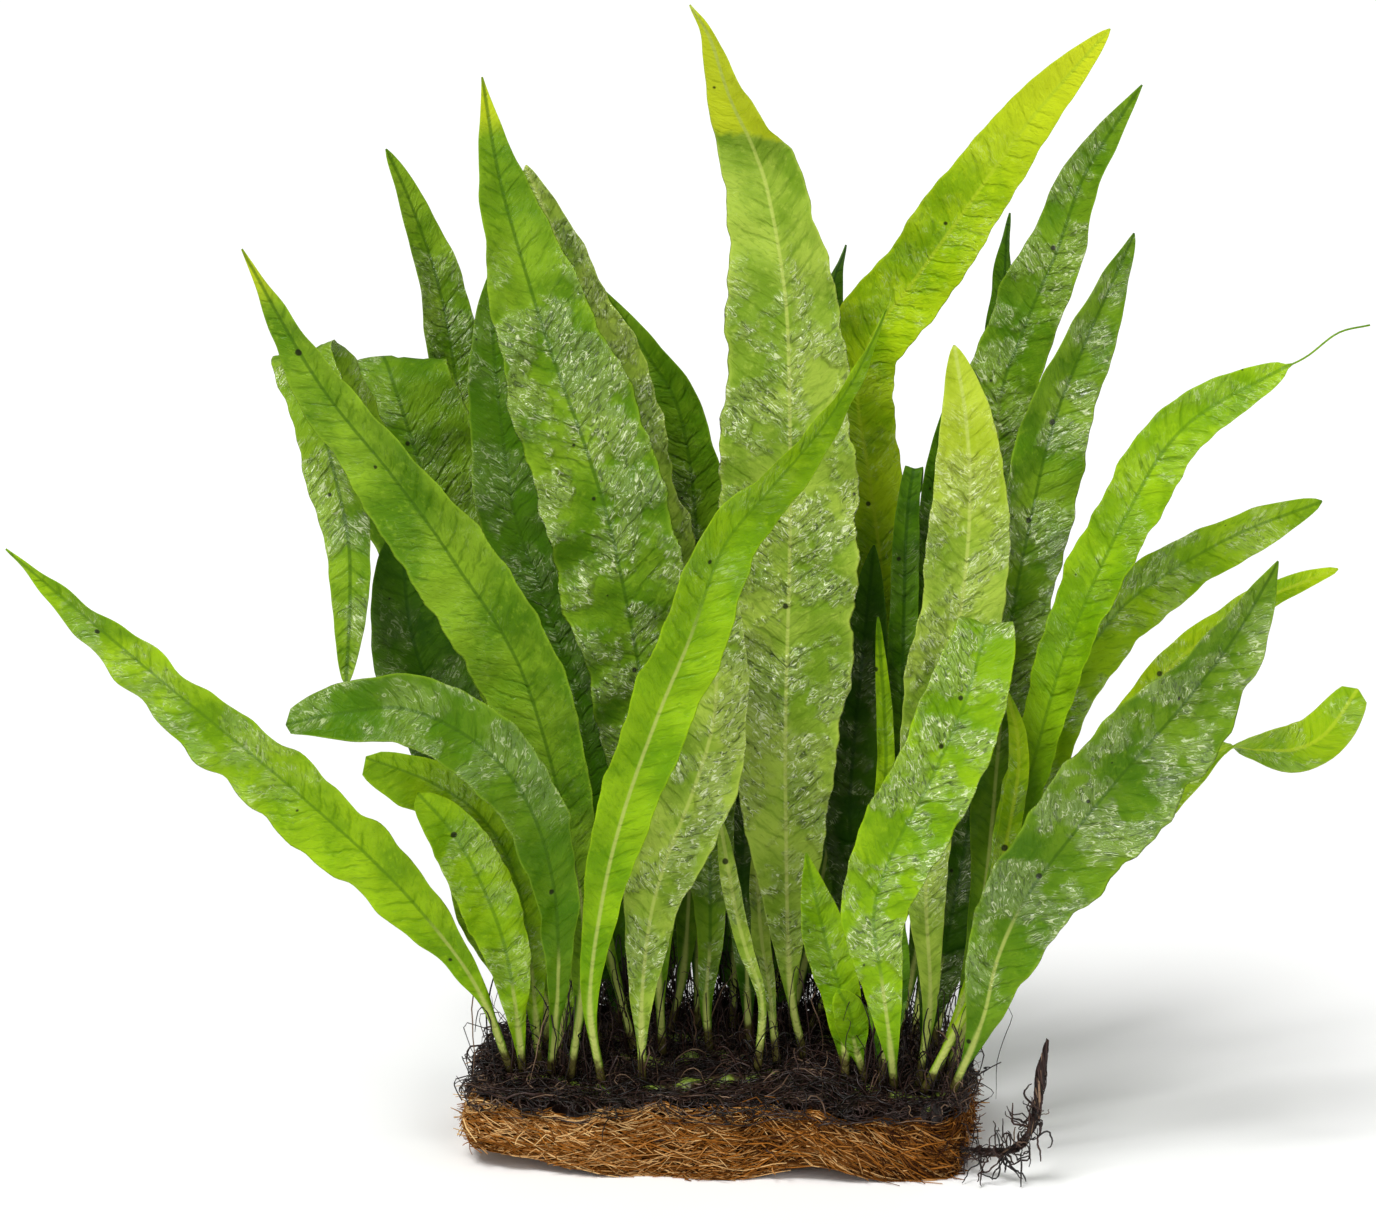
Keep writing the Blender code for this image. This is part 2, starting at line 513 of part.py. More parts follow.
def build_rhizome(name, keys, collection, material):
    """Add one creeping rhizome, thicker at every second point where a leaf grows."""
    points = rhizome_points(keys)
    radii = [RHIZOME_RADIUS * (1.0 + RHIZOME_KNOB * (-1) ** index) for index in range(len(points))]
    radii[0] = radii[-1] = RHIZOME_END * RHIZOME_RADIUS
    return add_object(name, tube_curve(name, points, radii), collection, material)


def build_groove(name, keys, collection, material):
    """Add the hidden cutter that clears the tangle around a rhizome."""
    path = np.array(rhizome_points(keys))
    ends = unit(path[[0, -1]] - path[[1, -2]]) * 2.0 * FIT_GAP
    path[0] += ends[0]
    path[-1] += ends[1]
    source = add_object(name, tube_curve(name, path, [GROOVE_RADIUS] * len(path)), collection, material)
    bpy.context.view_layer.update()
    evaluated = source.evaluated_get(bpy.context.evaluated_depsgraph_get())
    mesh = bpy.data.meshes.new_from_object(evaluated)
    welded = bmesh.new()
    welded.from_mesh(mesh)
    bmesh.ops.remove_doubles(welded, verts=welded.verts, dist=WELD_GAP * MM)
    bmesh.ops.recalc_face_normals(welded, faces=welded.faces)
    welded.to_mesh(mesh)
    welded.free()
    bpy.data.objects.remove(source)
    cutter = bpy.data.objects.new(name, mesh)
    collection.objects.link(cutter)
    cutter.hide_render = True
    cutter.display_type = "WIRE"
    return cutter


def main():
    """Build the whole plant on its mat."""
    clear_scene()
    parts = new_collection("java_fern_mat")
    cutters = new_collection("cutters")
    coir = new_material("coir", (0.42, 0.20, 0.06), 0.95)
    roots = new_material("roots", (0.02, 0.012, 0.01), 0.9)
    stem = new_material("rhizome", (0.14, 0.20, 0.03), 0.6)
    leaf_materials = {tone: new_material("leaf_" + tone, values[:3], values[3])
                      for tone, values in TONES.items()}
    build_mat(parts, coir)
    grooves = [build_groove("groove_" + name, keys, cutters, roots) for name, keys in RHIZOMES.items()]
    build_tangle(parts, roots, grooves)
    for name, keys in RHIZOMES.items():
        build_rhizome(name, keys, parts, stem)
    add_object("side_roots", tube_curve("side_roots", SIDE_ROOTS, SIDE_ROOT_RADII), parts, roots)
    for number, leaf in enumerate(LEAVES, start=1):
        build_leaf(f"leaf_{number:02d}", leaf, parts, leaf_materials[leaf.tone])


if __name__ == "__main__":
    main()
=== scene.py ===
"""Looks of a java fern that grows on a coconut-fibre mat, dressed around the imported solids.

Lengths are in millimetres, and become metres when a mesh is made. X runs along the mat to the
right, Y runs away from the camera, and Z is up. The leaves repeat the routes of the solids, with
ruffled margins, ribs and veins. Roots and coconut fibres are thin tubes in large joined meshes.
"""

import logging
import math
from dataclasses import dataclass, field
from enum import Enum
from typing import Any, Optional, Sequence

import bpy
import numpy as np
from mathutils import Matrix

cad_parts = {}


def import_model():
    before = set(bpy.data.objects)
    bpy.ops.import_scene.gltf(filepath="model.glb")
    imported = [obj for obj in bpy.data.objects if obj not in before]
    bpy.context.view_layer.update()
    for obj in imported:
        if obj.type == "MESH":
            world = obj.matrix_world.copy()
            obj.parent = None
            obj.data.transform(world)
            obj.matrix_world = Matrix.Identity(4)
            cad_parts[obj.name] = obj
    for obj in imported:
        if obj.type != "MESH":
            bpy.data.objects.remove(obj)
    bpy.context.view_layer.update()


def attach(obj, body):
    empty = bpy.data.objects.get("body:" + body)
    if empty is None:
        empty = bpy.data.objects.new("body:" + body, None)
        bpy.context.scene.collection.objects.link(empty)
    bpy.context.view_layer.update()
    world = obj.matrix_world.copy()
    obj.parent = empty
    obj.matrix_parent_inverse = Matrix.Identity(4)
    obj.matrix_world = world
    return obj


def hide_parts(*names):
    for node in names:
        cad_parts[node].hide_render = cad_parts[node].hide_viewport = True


MM = 0.001
BODY = "root"
PHASES = (0.0, 6.28)  # range of a random phase or heading, in radians
GROUND = 0.4  # least height of a root's middle line over the floor
VEIN_GAP = 5.0  # between a leaf's side veins
VEIN_SLOPE = 0.75  # how far a side vein runs towards the tip for each millimetre outwards
LOG = logging.getLogger("java_fern")

Point = tuple[float, float, float]
Colour = tuple[float, float, float, float]
Tree = bpy.types.NodeTree
Node = bpy.types.Node
Socket = bpy.types.NodeSocket
Material = bpy.types.Material
Object = bpy.types.Object
Array = np.ndarray
Rng = np.random.Generator


def linear(hex_colour: str) -> Colour:
    """Turn an sRGB hex colour such as "#6F9A10" to linear red, green, blue and alpha."""
    parts = [int(hex_colour[start:start + 2], 16) / 255.0 for start in (1, 3, 5)]
    red, green, blue = (p / 12.92 if p <= 0.04045 else ((p + 0.055) / 1.055) ** 2.4 for p in parts)
    return (red, green, blue, 1.0)


def set_inputs(tree: Tree, node: Node, inputs: dict[Any, Any]) -> None:
    """Give a node's inputs, by name or number, their values, or link them to output sockets."""
    for key, value in inputs.items():
        if isinstance(value, Socket):
            tree.links.new(value, node.inputs[key])
        else:
            node.inputs[key].default_value = value


def add_node(tree: Tree, kind: str, inputs: Optional[dict[Any, Any]] = None,
             stops: Sequence[tuple[float, Colour]] = (), **settings: Any) -> Node:
    """Add one shader node with its settings, and set or link its inputs.

    Args:
        tree: The material's node tree.
        kind: The node's type name.
        inputs: A value or an output socket for each input, by name or number.
        stops: Places and colours along a colour ramp.
        **settings: The node's own properties.

    Returns:
        The new node.
    """
    node = tree.nodes.new(kind)
    for name, value in settings.items():
        setattr(node, name, value)
    set_inputs(tree, node, inputs or {})
    for index, (place, colour) in enumerate(stops):
        ramp = node.color_ramp.elements
        stop = ramp[index] if index < 2 else ramp.new(place)
        stop.position = place
        stop.color = colour
    return node


def compute(tree: Tree, operation: str, *values: Any) -> Socket:
    """Add a math node over numbers or sockets, and return its output."""
    return add_node(tree, "ShaderNodeMath", dict(enumerate(values)), operation=operation).outputs[0]


def times(tree: Tree, first: Any, second: Any) -> Socket:
    """Multiply two numbers or sockets."""
    return compute(tree, "MULTIPLY", first, second)


def remap(tree: Tree, value: Socket, low: float, high: float,
          start: float = 0.0, stop: float = 1.0) -> Socket:
    """Carry a value softly from the range low to high over to start to stop."""
    return add_node(tree, "ShaderNodeMapRange", {0: value, 1: low, 2: high, 3: start, 4: stop},
                    interpolation_type="SMOOTHSTEP").outputs[0]


def blend(tree: Tree, factor: Any, first: Any, second: Any) -> Socket:
    """Mix two colours, each a hex colour or a socket, by a factor; the node's inputs 6 and 7 are colours."""
    pair = [linear(colour) if isinstance(colour, str) else colour for colour in (first, second)]
    return add_node(tree, "ShaderNodeMix", {0: factor, 6: pair[0], 7: pair[1]}, data_type="RGBA").outputs[2]


def noise(tree: Tree, vector: Socket, scale: float, detail: float = 2.0,
          rough: float = 0.5, twist: float = 0.0) -> Socket:
    """Add a noise texture and return its value."""
    return add_node(tree, "ShaderNodeTexNoise", {"Vector": vector, "Scale": scale, "Detail": detail,
                                                 "Roughness": rough, "Distortion": twist}).outputs[0]


def attribute(tree: Tree, name: str, output: str = "Vector") -> Socket:
    """Read one of the mesh's attributes."""
    return add_node(tree, "ShaderNodeAttribute", attribute_name=name).outputs[output]


def split(tree: Tree, vector: Socket) -> bpy.types.NodeOutputs:
    """Part a vector into its three numbers."""
    return add_node(tree, "ShaderNodeSeparateXYZ", {0: vector}).outputs


def bump(tree: Tree, height: Socket, deep: float, strength: float = 1.0) -> Socket:
    """Tilt the surface by a height from 0 to 1 that stands for deep millimetres."""
    inputs = {"Strength": strength, "Distance": deep * MM, "Height": height}
    return add_node(tree, "ShaderNodeBump", inputs).outputs[0]


def new_material(name: str) -> tuple[Material, Tree, Node]:
    """Return a new material with its node tree and its Principled shader."""
    material = bpy.data.materials.new(name)
    material.use_nodes = True
    tree = material.node_tree
    return material, tree, tree.nodes["Principled BSDF"]


def unit(vectors: Array) -> Array:
    """Return the vectors at length one."""
    return vectors / np.maximum(np.linalg.norm(vectors, axis=-1, keepdims=True), 1e-9)


def ease(value: Any) -> Any:
    """Return 0 to 1 with soft ends for a value that runs from 0 to 1."""
    held = np.clip(value, 0.0, 1.0)
    return held * held * (3.0 - 2.0 * held)


def waves(place: Array, lengths: Sequence[float], rng: Rng) -> Array:
    """Sum one sine wave for each length, each with its own random phase and weight.

    Args:
        place: Positions in millimetres.
        lengths: Wave lengths in millimetres.
        rng: The source of phases and weights.

    Returns:
        Values of about -1 to 1, one for each position.
    """
    total = np.zeros_like(place)
    for length in lengths:
        total += rng.uniform(0.5, 1.0) * np.sin(2.0 * math.pi * place / length + rng.uniform(*PHASES))
    return total / max(1.0, 0.75 * len(lengths))


def make_piece(name: str, points: Array, faces: Sequence[Array], material: Material,
               attributes: Optional[dict[str, Array]] = None) -> Object:
    """Put points and faces into a new smooth mesh object.

    Args:
        name: The piece's name.
        points: One row of millimetres for each point.
        faces: Arrays of point numbers, one row for each face, all rows of an array equally long.
        material: What the piece is made of.
        attributes: Values for each point, one column or three, by attribute name.

    Returns:
        The new object, at the origin, linked to the scene.
    """
    mesh = bpy.data.meshes.new(name)
    corners = np.concatenate([group.ravel() for group in faces]).astype(np.int32)
    totals = np.concatenate([np.full(len(group), group.shape[1]) for group in faces])
    starts = np.concatenate(((0,), np.cumsum(totals)[:-1])).astype(np.int32)
    mesh.vertices.add(len(points))
    mesh.vertices.foreach_set("co", (points * MM).astype(np.float32).ravel())
    mesh.loops.add(len(corners))
    mesh.loops.foreach_set("vertex_index", corners)
    mesh.polygons.add(len(starts))
    mesh.polygons.foreach_set("loop_start", starts)
    mesh.update(calc_edges=True)
    for key, values in (attributes or {}).items():
        kind, slot = ("FLOAT", "value") if values.ndim == 1 else ("FLOAT_VECTOR", "vector")
        mesh.attributes.new(key, kind, "POINT").data.foreach_set(slot, values.astype(np.float32).ravel())
    mesh.shade_smooth()
    mesh.materials.append(material)
    piece = bpy.data.objects.new(name, mesh)
    bpy.context.scene.collection.objects.link(piece)
    return piece


def report_piece(piece: Object, nodes: Sequence[str] = ()) -> None:
    """Let a piece ride on the body, hide the solids it stands for, and log it."""
    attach(piece, BODY)
    if nodes:
        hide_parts(*nodes)
    LOG.info("%s: %d faces", piece.name, len(piece.data.polygons))


def tube_faces(rings: int, corners: int) -> list[Array]:
    """Return a closed tube's faces, quads and then two caps, its points numbered ring by ring."""
    ring = np.arange(rings - 1)[:, None] * corners
    corner = np.arange(corners)
    after = (corner + 1) % corners
    quads = np.stack((ring + corner, ring + after, ring + corners + after, ring + corners + corner), axis=-1)
    return [quads.reshape(-1, 4), np.stack((corner[::-1], (rings - 1) * corners + corner))]


def sweep(paths: Array, radii: Array, sides: int) -> tuple[Array, list[Array]]:
    """Sweep a ring along many paths at once, each ring straight across its path.

    Args:
        paths: Points, as paths by points by three, in millimetres.
        radii: The radius at each point, the same for the whole ring or one for each corner.
        sides: How many corners a ring has.

    Returns:
        The points, and the faces of all tubes, closed at both ends.
    """
    tangent = unit(np.gradient(paths, axis=1))
    steep = np.abs(tangent[..., 2:]) > 0.8
    sideways = unit(np.cross(tangent, np.where(steep, (1.0, 0.0, 0.0), (0.0, 0.0, 1.0))))
    upward = np.cross(sideways, tangent)
    turn = (np.arange(sides) * 2.0 * math.pi / sides)[:, None]
    ring = np.cos(turn) * sideways[:, :, None] - np.sin(turn) * upward[:, :, None]
    points = paths[:, :, None] + radii[..., None] * ring
    first = np.arange(len(paths))[:, None, None] * paths.shape[1] * sides
    faces = [(group + first).reshape(-1, group.shape[1]) for group in tube_faces(paths.shape[1], sides)]
    return points.reshape(-1, 3), faces


def run_along(points: Array) -> Array:
    """Return how far each point is from the first, along the line through all of them."""
    return np.concatenate(((0.0,), np.cumsum(np.linalg.norm(np.diff(points, axis=0), axis=1))))


def smooth_route(keys: Array, count: int, steps: int = 24) -> Array:
    """Return evenly spaced points along a soft curve through the keys.

    Between two keys the curve is the cubic whose slopes at the keys are half the step from the
    key before to the key after.

    Args:
        keys: The points that the curve passes.
        count: How many points to return.
        steps: How finely the curve is drawn between two keys before it is spaced out.

    Returns:
        The points, the first and last at the first and last key.
    """
    ends = np.vstack((2.0 * keys[0] - keys[1], keys, 2.0 * keys[-1] - keys[-2]))
    step = np.linspace(0.0, 1.0, steps, endpoint=False)[None, :, None]
    before, start, stop, after = (ends[i:len(ends) - 3 + i, None, :] for i in range(4))
    curve = 0.5 * (2.0 * start + (stop - before) * step
                   + (2.0 * before - 5.0 * start + 4.0 * stop - after) * step ** 2
                   + (3.0 * start - before - 3.0 * stop + after) * step ** 3)
    dense = np.vstack((curve.reshape(-1, keys.shape[1]), keys[-1]))
    run = run_along(dense)
    even = np.linspace(0.0, run[-1], count)
    return np.stack([np.interp(even, run, dense[:, axis]) for axis in range(keys.shape[1])], axis=1)


@dataclass(frozen=True)
class Eye:
    """The photograph's viewpoint, which the leaf routes are written for."""

    elevation: float = math.radians(12.0)
    distance: float = 1500.0
    aim_across: float = -8.5
    aim_rise: float = 133.25
    frame_width: float = 344.0
    sensor: float = 36.0

    def axes(self) -> tuple[Array, Array, Array]:
        """Return the aim, the picture's upward direction and the direction back to the eye."""
        up = np.array((0.0, math.sin(self.elevation), math.cos(self.elevation)))
        back = np.array((0.0, -math.cos(self.elevation), math.sin(self.elevation)))
        aim = np.array((self.aim_across, 0.0, self.aim_rise / math.cos(self.elevation)))
        return aim, up, back

    def seen(self, across: float, rise: float, depth: float) -> Array:
        """Follow the line from the eye through a point of the picture to the plane at a depth.

        Args:
            across: Millimetres to the right in the plane Y = 0.
            rise: Millimetres up in the picture.
            depth: The plane's Y.

        Returns:
            The point in space.
        """
        aim, up, back = self.axes()
        eye = aim + self.distance * back
        flat = aim + np.array((across - self.aim_across, 0.0, 0.0)) + (rise - self.aim_rise) * up
        return eye + (depth - eye[1]) / (flat[1] - eye[1]) * (flat - eye)

    def place_camera(self) -> None:
        """Add the camera at the eye, looking at the aim, and make it the scene's camera."""
        aim, _, back = self.axes()
        camera = bpy.data.cameras.new("camera")
        camera.sensor_width = self.sensor
        camera.sensor_fit = "HORIZONTAL"
        camera.lens = self.sensor * self.distance / self.frame_width
        camera.clip_end = 100.0
        item = bpy.data.objects.new("camera", camera)
        item.location = (aim + self.distance * back) * MM
        item.rotation_euler = (math.pi / 2.0 - self.elevation, 0.0, 0.0)
        bpy.context.scene.collection.objects.link(item)
        bpy.context.scene.camera = item


class Tone(Enum):
    """The greens that the leaves come in."""

    BRIGHT = "leaf_bright"
    MID = "leaf_mid"
    DEEP = "leaf_deep"
    YELLOW = "leaf_yellow"
    PALE = "leaf_pale"


@dataclass(frozen=True)
class LeafFinish:
    """Wet living leaf: a waxy skin over green flesh, under a film of water.

    The flesh is patchy, and side veins and a fine net crease it, with painted shade in the creases.
    Where the leaf is wettest, a glossy coat over the creases throws real glints, and the base colour
    adds painted white glints, a painted grey-green sheen and painted shade in the crinkles' hollows.
    Scales are repeats in a millimetre, and reliefs and gaps are millimetres.
    """

    name: str
    body: str
    light: str
    deep: str
    rib: str
    tip: str = "#BECA20"
    stem: str = "#B0BA60"
    foot: str = "#3B2B14"
    # grey-green tint for the painted sheen of the wet film
    painted_water_sheen: str = "#9DB052"
    # dark green for the painted shade in the hollows of the wet crinkles
    painted_pit_shade: str = "#2A3B0C"
    # pale colour of the painted highlights on the wet crinkles
    painted_glint: str = "#E9F2BE"
    speck: str = "#171508"
    roughness: float = 0.46
    skin_relief: float = 1.2
    water_relief: float = 2.2
    speck_gap: float = 20.0
    patch_scale: float = 0.045
    puddle_scale: float = 0.075
    painted_glint_scale: float = 0.42
    fleck_scale: float = 0.5
    crease_scale: float = 0.62

    def flesh(self, tree: Tree, blade: Socket, vein: Socket, crease: Socket) -> Socket:
        """Mix the green flesh: three greens in patches, darker in veins, with painted shade in the creases.

        Args:
            tree: The material's nodes.
            blade: Place on the blade in millimetres.
            vein: 1 on a side vein, 0 between them.
            crease: Height of the crinkles.

        Returns:
            The colour.
        """
        patches = remap(tree, noise(tree, blade, self.patch_scale, 3.0, 0.6), 0.36, 0.64)
        colour = blend(tree, patches, self.deep, self.light)
        colour = blend(tree, 0.45, colour, self.body)
        fleck = noise(tree, blade, self.fleck_scale, 4.0, 0.65)
        colour = blend(tree, remap(tree, fleck, 0.5, 0.75, 0.0, 0.5), colour, self.light)
        colour = blend(tree, times(tree, vein, 0.45), colour, self.deep)
        # painted shade: the low places of the crinkles are darkened
        return blend(tree, remap(tree, crease, 0.5, 0.3, 0.0, 0.35), colour, self.deep)

    def painted_glints(self, tree: Tree, blade: Socket, grain: Socket, film: Socket) -> Socket:
        """Paint thin bright worms on the crinkles where the leaf is wet: painted highlights of the wet film.

        They follow the line where a soft noise passes its middle value, and a second noise breaks
        the line into short strokes.

        Args:
            tree: The material's nodes.
            blade: Place on the blade in millimetres.
            grain: The same place, stretched along the side veins.
            film: How wet the leaf is there.

        Returns:
            1 on a stroke and 0 off it.
        """
        swirl = compute(tree, "SUBTRACT", noise(tree, grain, self.painted_glint_scale, 1.0, 0.5, 1.6), 0.5)
        line = remap(tree, compute(tree, "ABSOLUTE", swirl), 0.01, 0.042, 1.0, 0.0)
        gaps = remap(tree, noise(tree, blade, 0.36, 1.0), 0.47, 0.55)
        return times(tree, times(tree, line, gaps), film)

    def specks(self, tree: Tree, blade: Socket) -> Socket:
        """Scatter small dark specks: one in each cell, by luck mostly too small to be seen."""
        cells = add_node(tree, "ShaderNodeTexVoronoi", {"Vector": blade, "Scale": 1.0 / self.speck_gap},
                         voronoi_dimensions="2D").outputs
        luck = split(tree, cells["Color"])[0]
        size = times(tree, compute(tree, "POWER", luck, 5.0), 0.045)
        return remap(tree, compute(tree, "SUBTRACT", cells["Distance"], size), -0.01, 0.01, 0.9, 0.0)

    def material(self) -> Material:
        """Build the leaf material.

        The blade attribute is the distance from the rib and along it in millimetres, and the share
        of the way to the margin. The looks attribute is how much of the tip's colour there is or,
        below 0, of the dark green, how wet the leaf is, and 0 on the blade, 1 on the stalk and 2 at
        its foot.

        Returns:
            The material.
        """
        material, tree, shader = new_material(self.name)
        blade = attribute(tree, "blade")
        across, along, share = split(tree, blade)
        young, wet, stem = split(tree, attribute(tree, "looks"))
        aside = compute(tree, "ABSOLUTE", across)
        slant = compute(tree, "MULTIPLY_ADD", aside, -VEIN_SLOPE, along)
        bent = compute(tree, "MULTIPLY_ADD", noise(tree, blade, 0.16), 4.0, slant)
        vein = remap(tree, compute(tree, "PINGPONG", bent, VEIN_GAP / 2.0), 0.0, 0.8, 1.0, 0.0)
        vein = times(tree, vein, remap(tree, share, 0.6, 0.97, 1.0, 0.0))
        vein = times(tree, vein, remap(tree, noise(tree, blade, 0.07), 0.38, 0.6, 0.15, 1.0))
        grain = add_node(tree, "ShaderNodeCombineXYZ", {0: times(tree, across, 0.6), 1: slant}).outputs[0]
        crease = noise(tree, grain, self.crease_scale, 3.0, 0.55, 1.1)
        puddle = remap(tree, noise(tree, blade, self.puddle_scale, 3.0, 0.6), 0.44, 0.56)
        film = times(tree, puddle, wet)
        low_rib = times(tree, remap(tree, stem, 0.7, 1.0), remap(tree, aside, 0.4, 1.2, 0.95, 0.0))
        rib = blend(tree, remap(tree, stem, 0.1, 0.35), self.rib, self.stem)
        stain = compute(tree, "ADD", stem, noise(tree, blade, 0.35, 3.0, 0.6))

        colour = self.flesh(tree, blade, vein, crease)
        layers = (
            (times(tree, young, -1.0), self.deep),
            # painted sheen: a grey-green tint for the wet film's reflection over the wet patches
            (times(tree, film, 0.3), self.painted_water_sheen),
            # painted shade in the hollows of the wet crinkles
            (times(tree, remap(tree, crease, 0.46, 0.34, 0.0, 0.8), film), self.painted_pit_shade),
            # painted highlights: pale worm strokes in the base colour, beside the coat's real glints
            (times(tree, self.painted_glints(tree, blade, grain, film), 0.85), self.painted_glint),
            (young, self.tip),
            (remap(tree, share, 0.9, 1.0, 0.0, 0.4), self.light),
            (remap(tree, stem, 0.7, 1.0, 0.0, 0.6), self.deep),
            (low_rib, self.stem),
            (remap(tree, aside, 0.2, 0.7, 0.7, 0.0), rib),
            (remap(tree, stain, 1.55, 2.0, 0.0, 0.9), self.foot),
            (self.specks(tree, blade), self.speck),
        )
        for factor, paint in layers:
            colour = blend(tree, factor, colour, paint)

        relief = compute(tree, "MULTIPLY_ADD", vein, -0.45, crease)
        ripple = times(tree, relief, compute(tree, "ADD", film, 0.35))
        set_inputs(tree, shader, {
            "Base Color": colour,
            "Roughness": remap(tree, crease, 0.3, 0.7, self.roughness + 0.1, self.roughness - 0.08),
            "Normal": bump(tree, ripple, self.skin_relief),
            "Coat Normal": bump(tree, ripple, self.water_relief),
            "IOR": 1.4,
            "Specular IOR Level": 0.06,
            "Coat Weight": remap(tree, film, 0.0, 0.8, 0.04, 0.85),
            "Coat Roughness": 0.1,
            "Coat IOR": 1.8,
        })
        return material


LEAF_FINISHES = {
    Tone.BRIGHT: LeafFinish("wet_leaf_bright", "#82AC06", "#A0C418", "#4F7C04", "#567F0A"),
    Tone.MID: LeafFinish("wet_leaf_mid", "#678E0E", "#8FB028", "#376204", "#3A5E08"),
    Tone.DEEP: LeafFinish("wet_leaf_deep", "#426C08", "#658F18", "#1B4202", "#274C06"),
    Tone.YELLOW: LeafFinish("wet_leaf_yellow", "#90B406", "#B0C818", "#5E8A04", "#A4BA24"),
    Tone.PALE: LeafFinish("wet_leaf_pale", "#84A22A", "#AEC24E", "#567A12", "#B0BE5C"),
}


@dataclass
class Leaf:
    """One leaf: where its stalk starts, the route of its midrib, and how its blade is shaped.

    foot is the stalk's start on a rhizome, as X and Y. Each route point is across and up as the
    eye sees it in the plane Y = 0, and then its depth Y. stalk and thread are the shares of the
    length that have no blade, at the foot and at the tip. rise and taper are how slowly the blade
    widens up to its widest place and narrows past it. roll turns the blade about its midrib, in
    degrees, at even steps from foot to tip, and fold lifts its margins. side, as X and Z, is the
    way the blade spreads where the chord doesn't tell it. ruffle is how far the margins wave,
    ragged how uneven they are as a share of the width. tip is the share of the length that is
    yellow, and tip_soft, tip_slant and tip_full how soft, slanted and strong that is. gloom is how
    dark its green is at even steps from foot to tip, rib_end how far along the rib stays pale,
    satin how wet the blade is, and wet the stretch of the length that is.
    """

    foot: tuple[float, float]
    width: float
    tone: Tone
    route: tuple[Point, ...]
    stalk: float = 0.05
    widest: float = 0.65
    rise: float = 1.35
    taper: float = 2.2
    thread: float = 0.0
    roll: tuple[float, ...] = (0.0,)
    fold: float = 12.0
    side: Optional[tuple[float, float]] = None
    ruffle: float = 1.3
    ragged: float = 0.06
    tip: float = 0.0
    tip_soft: float = 25.0
    tip_slant: float = 0.0
    tip_full: float = 1.0
    gloom: tuple[float, ...] = (0.0,)
    rib_end: float = 0.0
    satin: float = 0.15
    wet: tuple[float, float] = (0.15, 0.85)

    def at(self, steps: Sequence[float], along: Array) -> Array:
        """Read values that are given at even steps from foot to tip at other places."""
        return np.interp(along, np.linspace(0.0, 1.0, len(steps)), steps)


BRIGHT, MID, DEEP, YELLOW, PALE = Tone
SHADED = {"widest": 0.36, "rise": 0.55, "taper": 1.8}  # leaves that grew in the shade behind

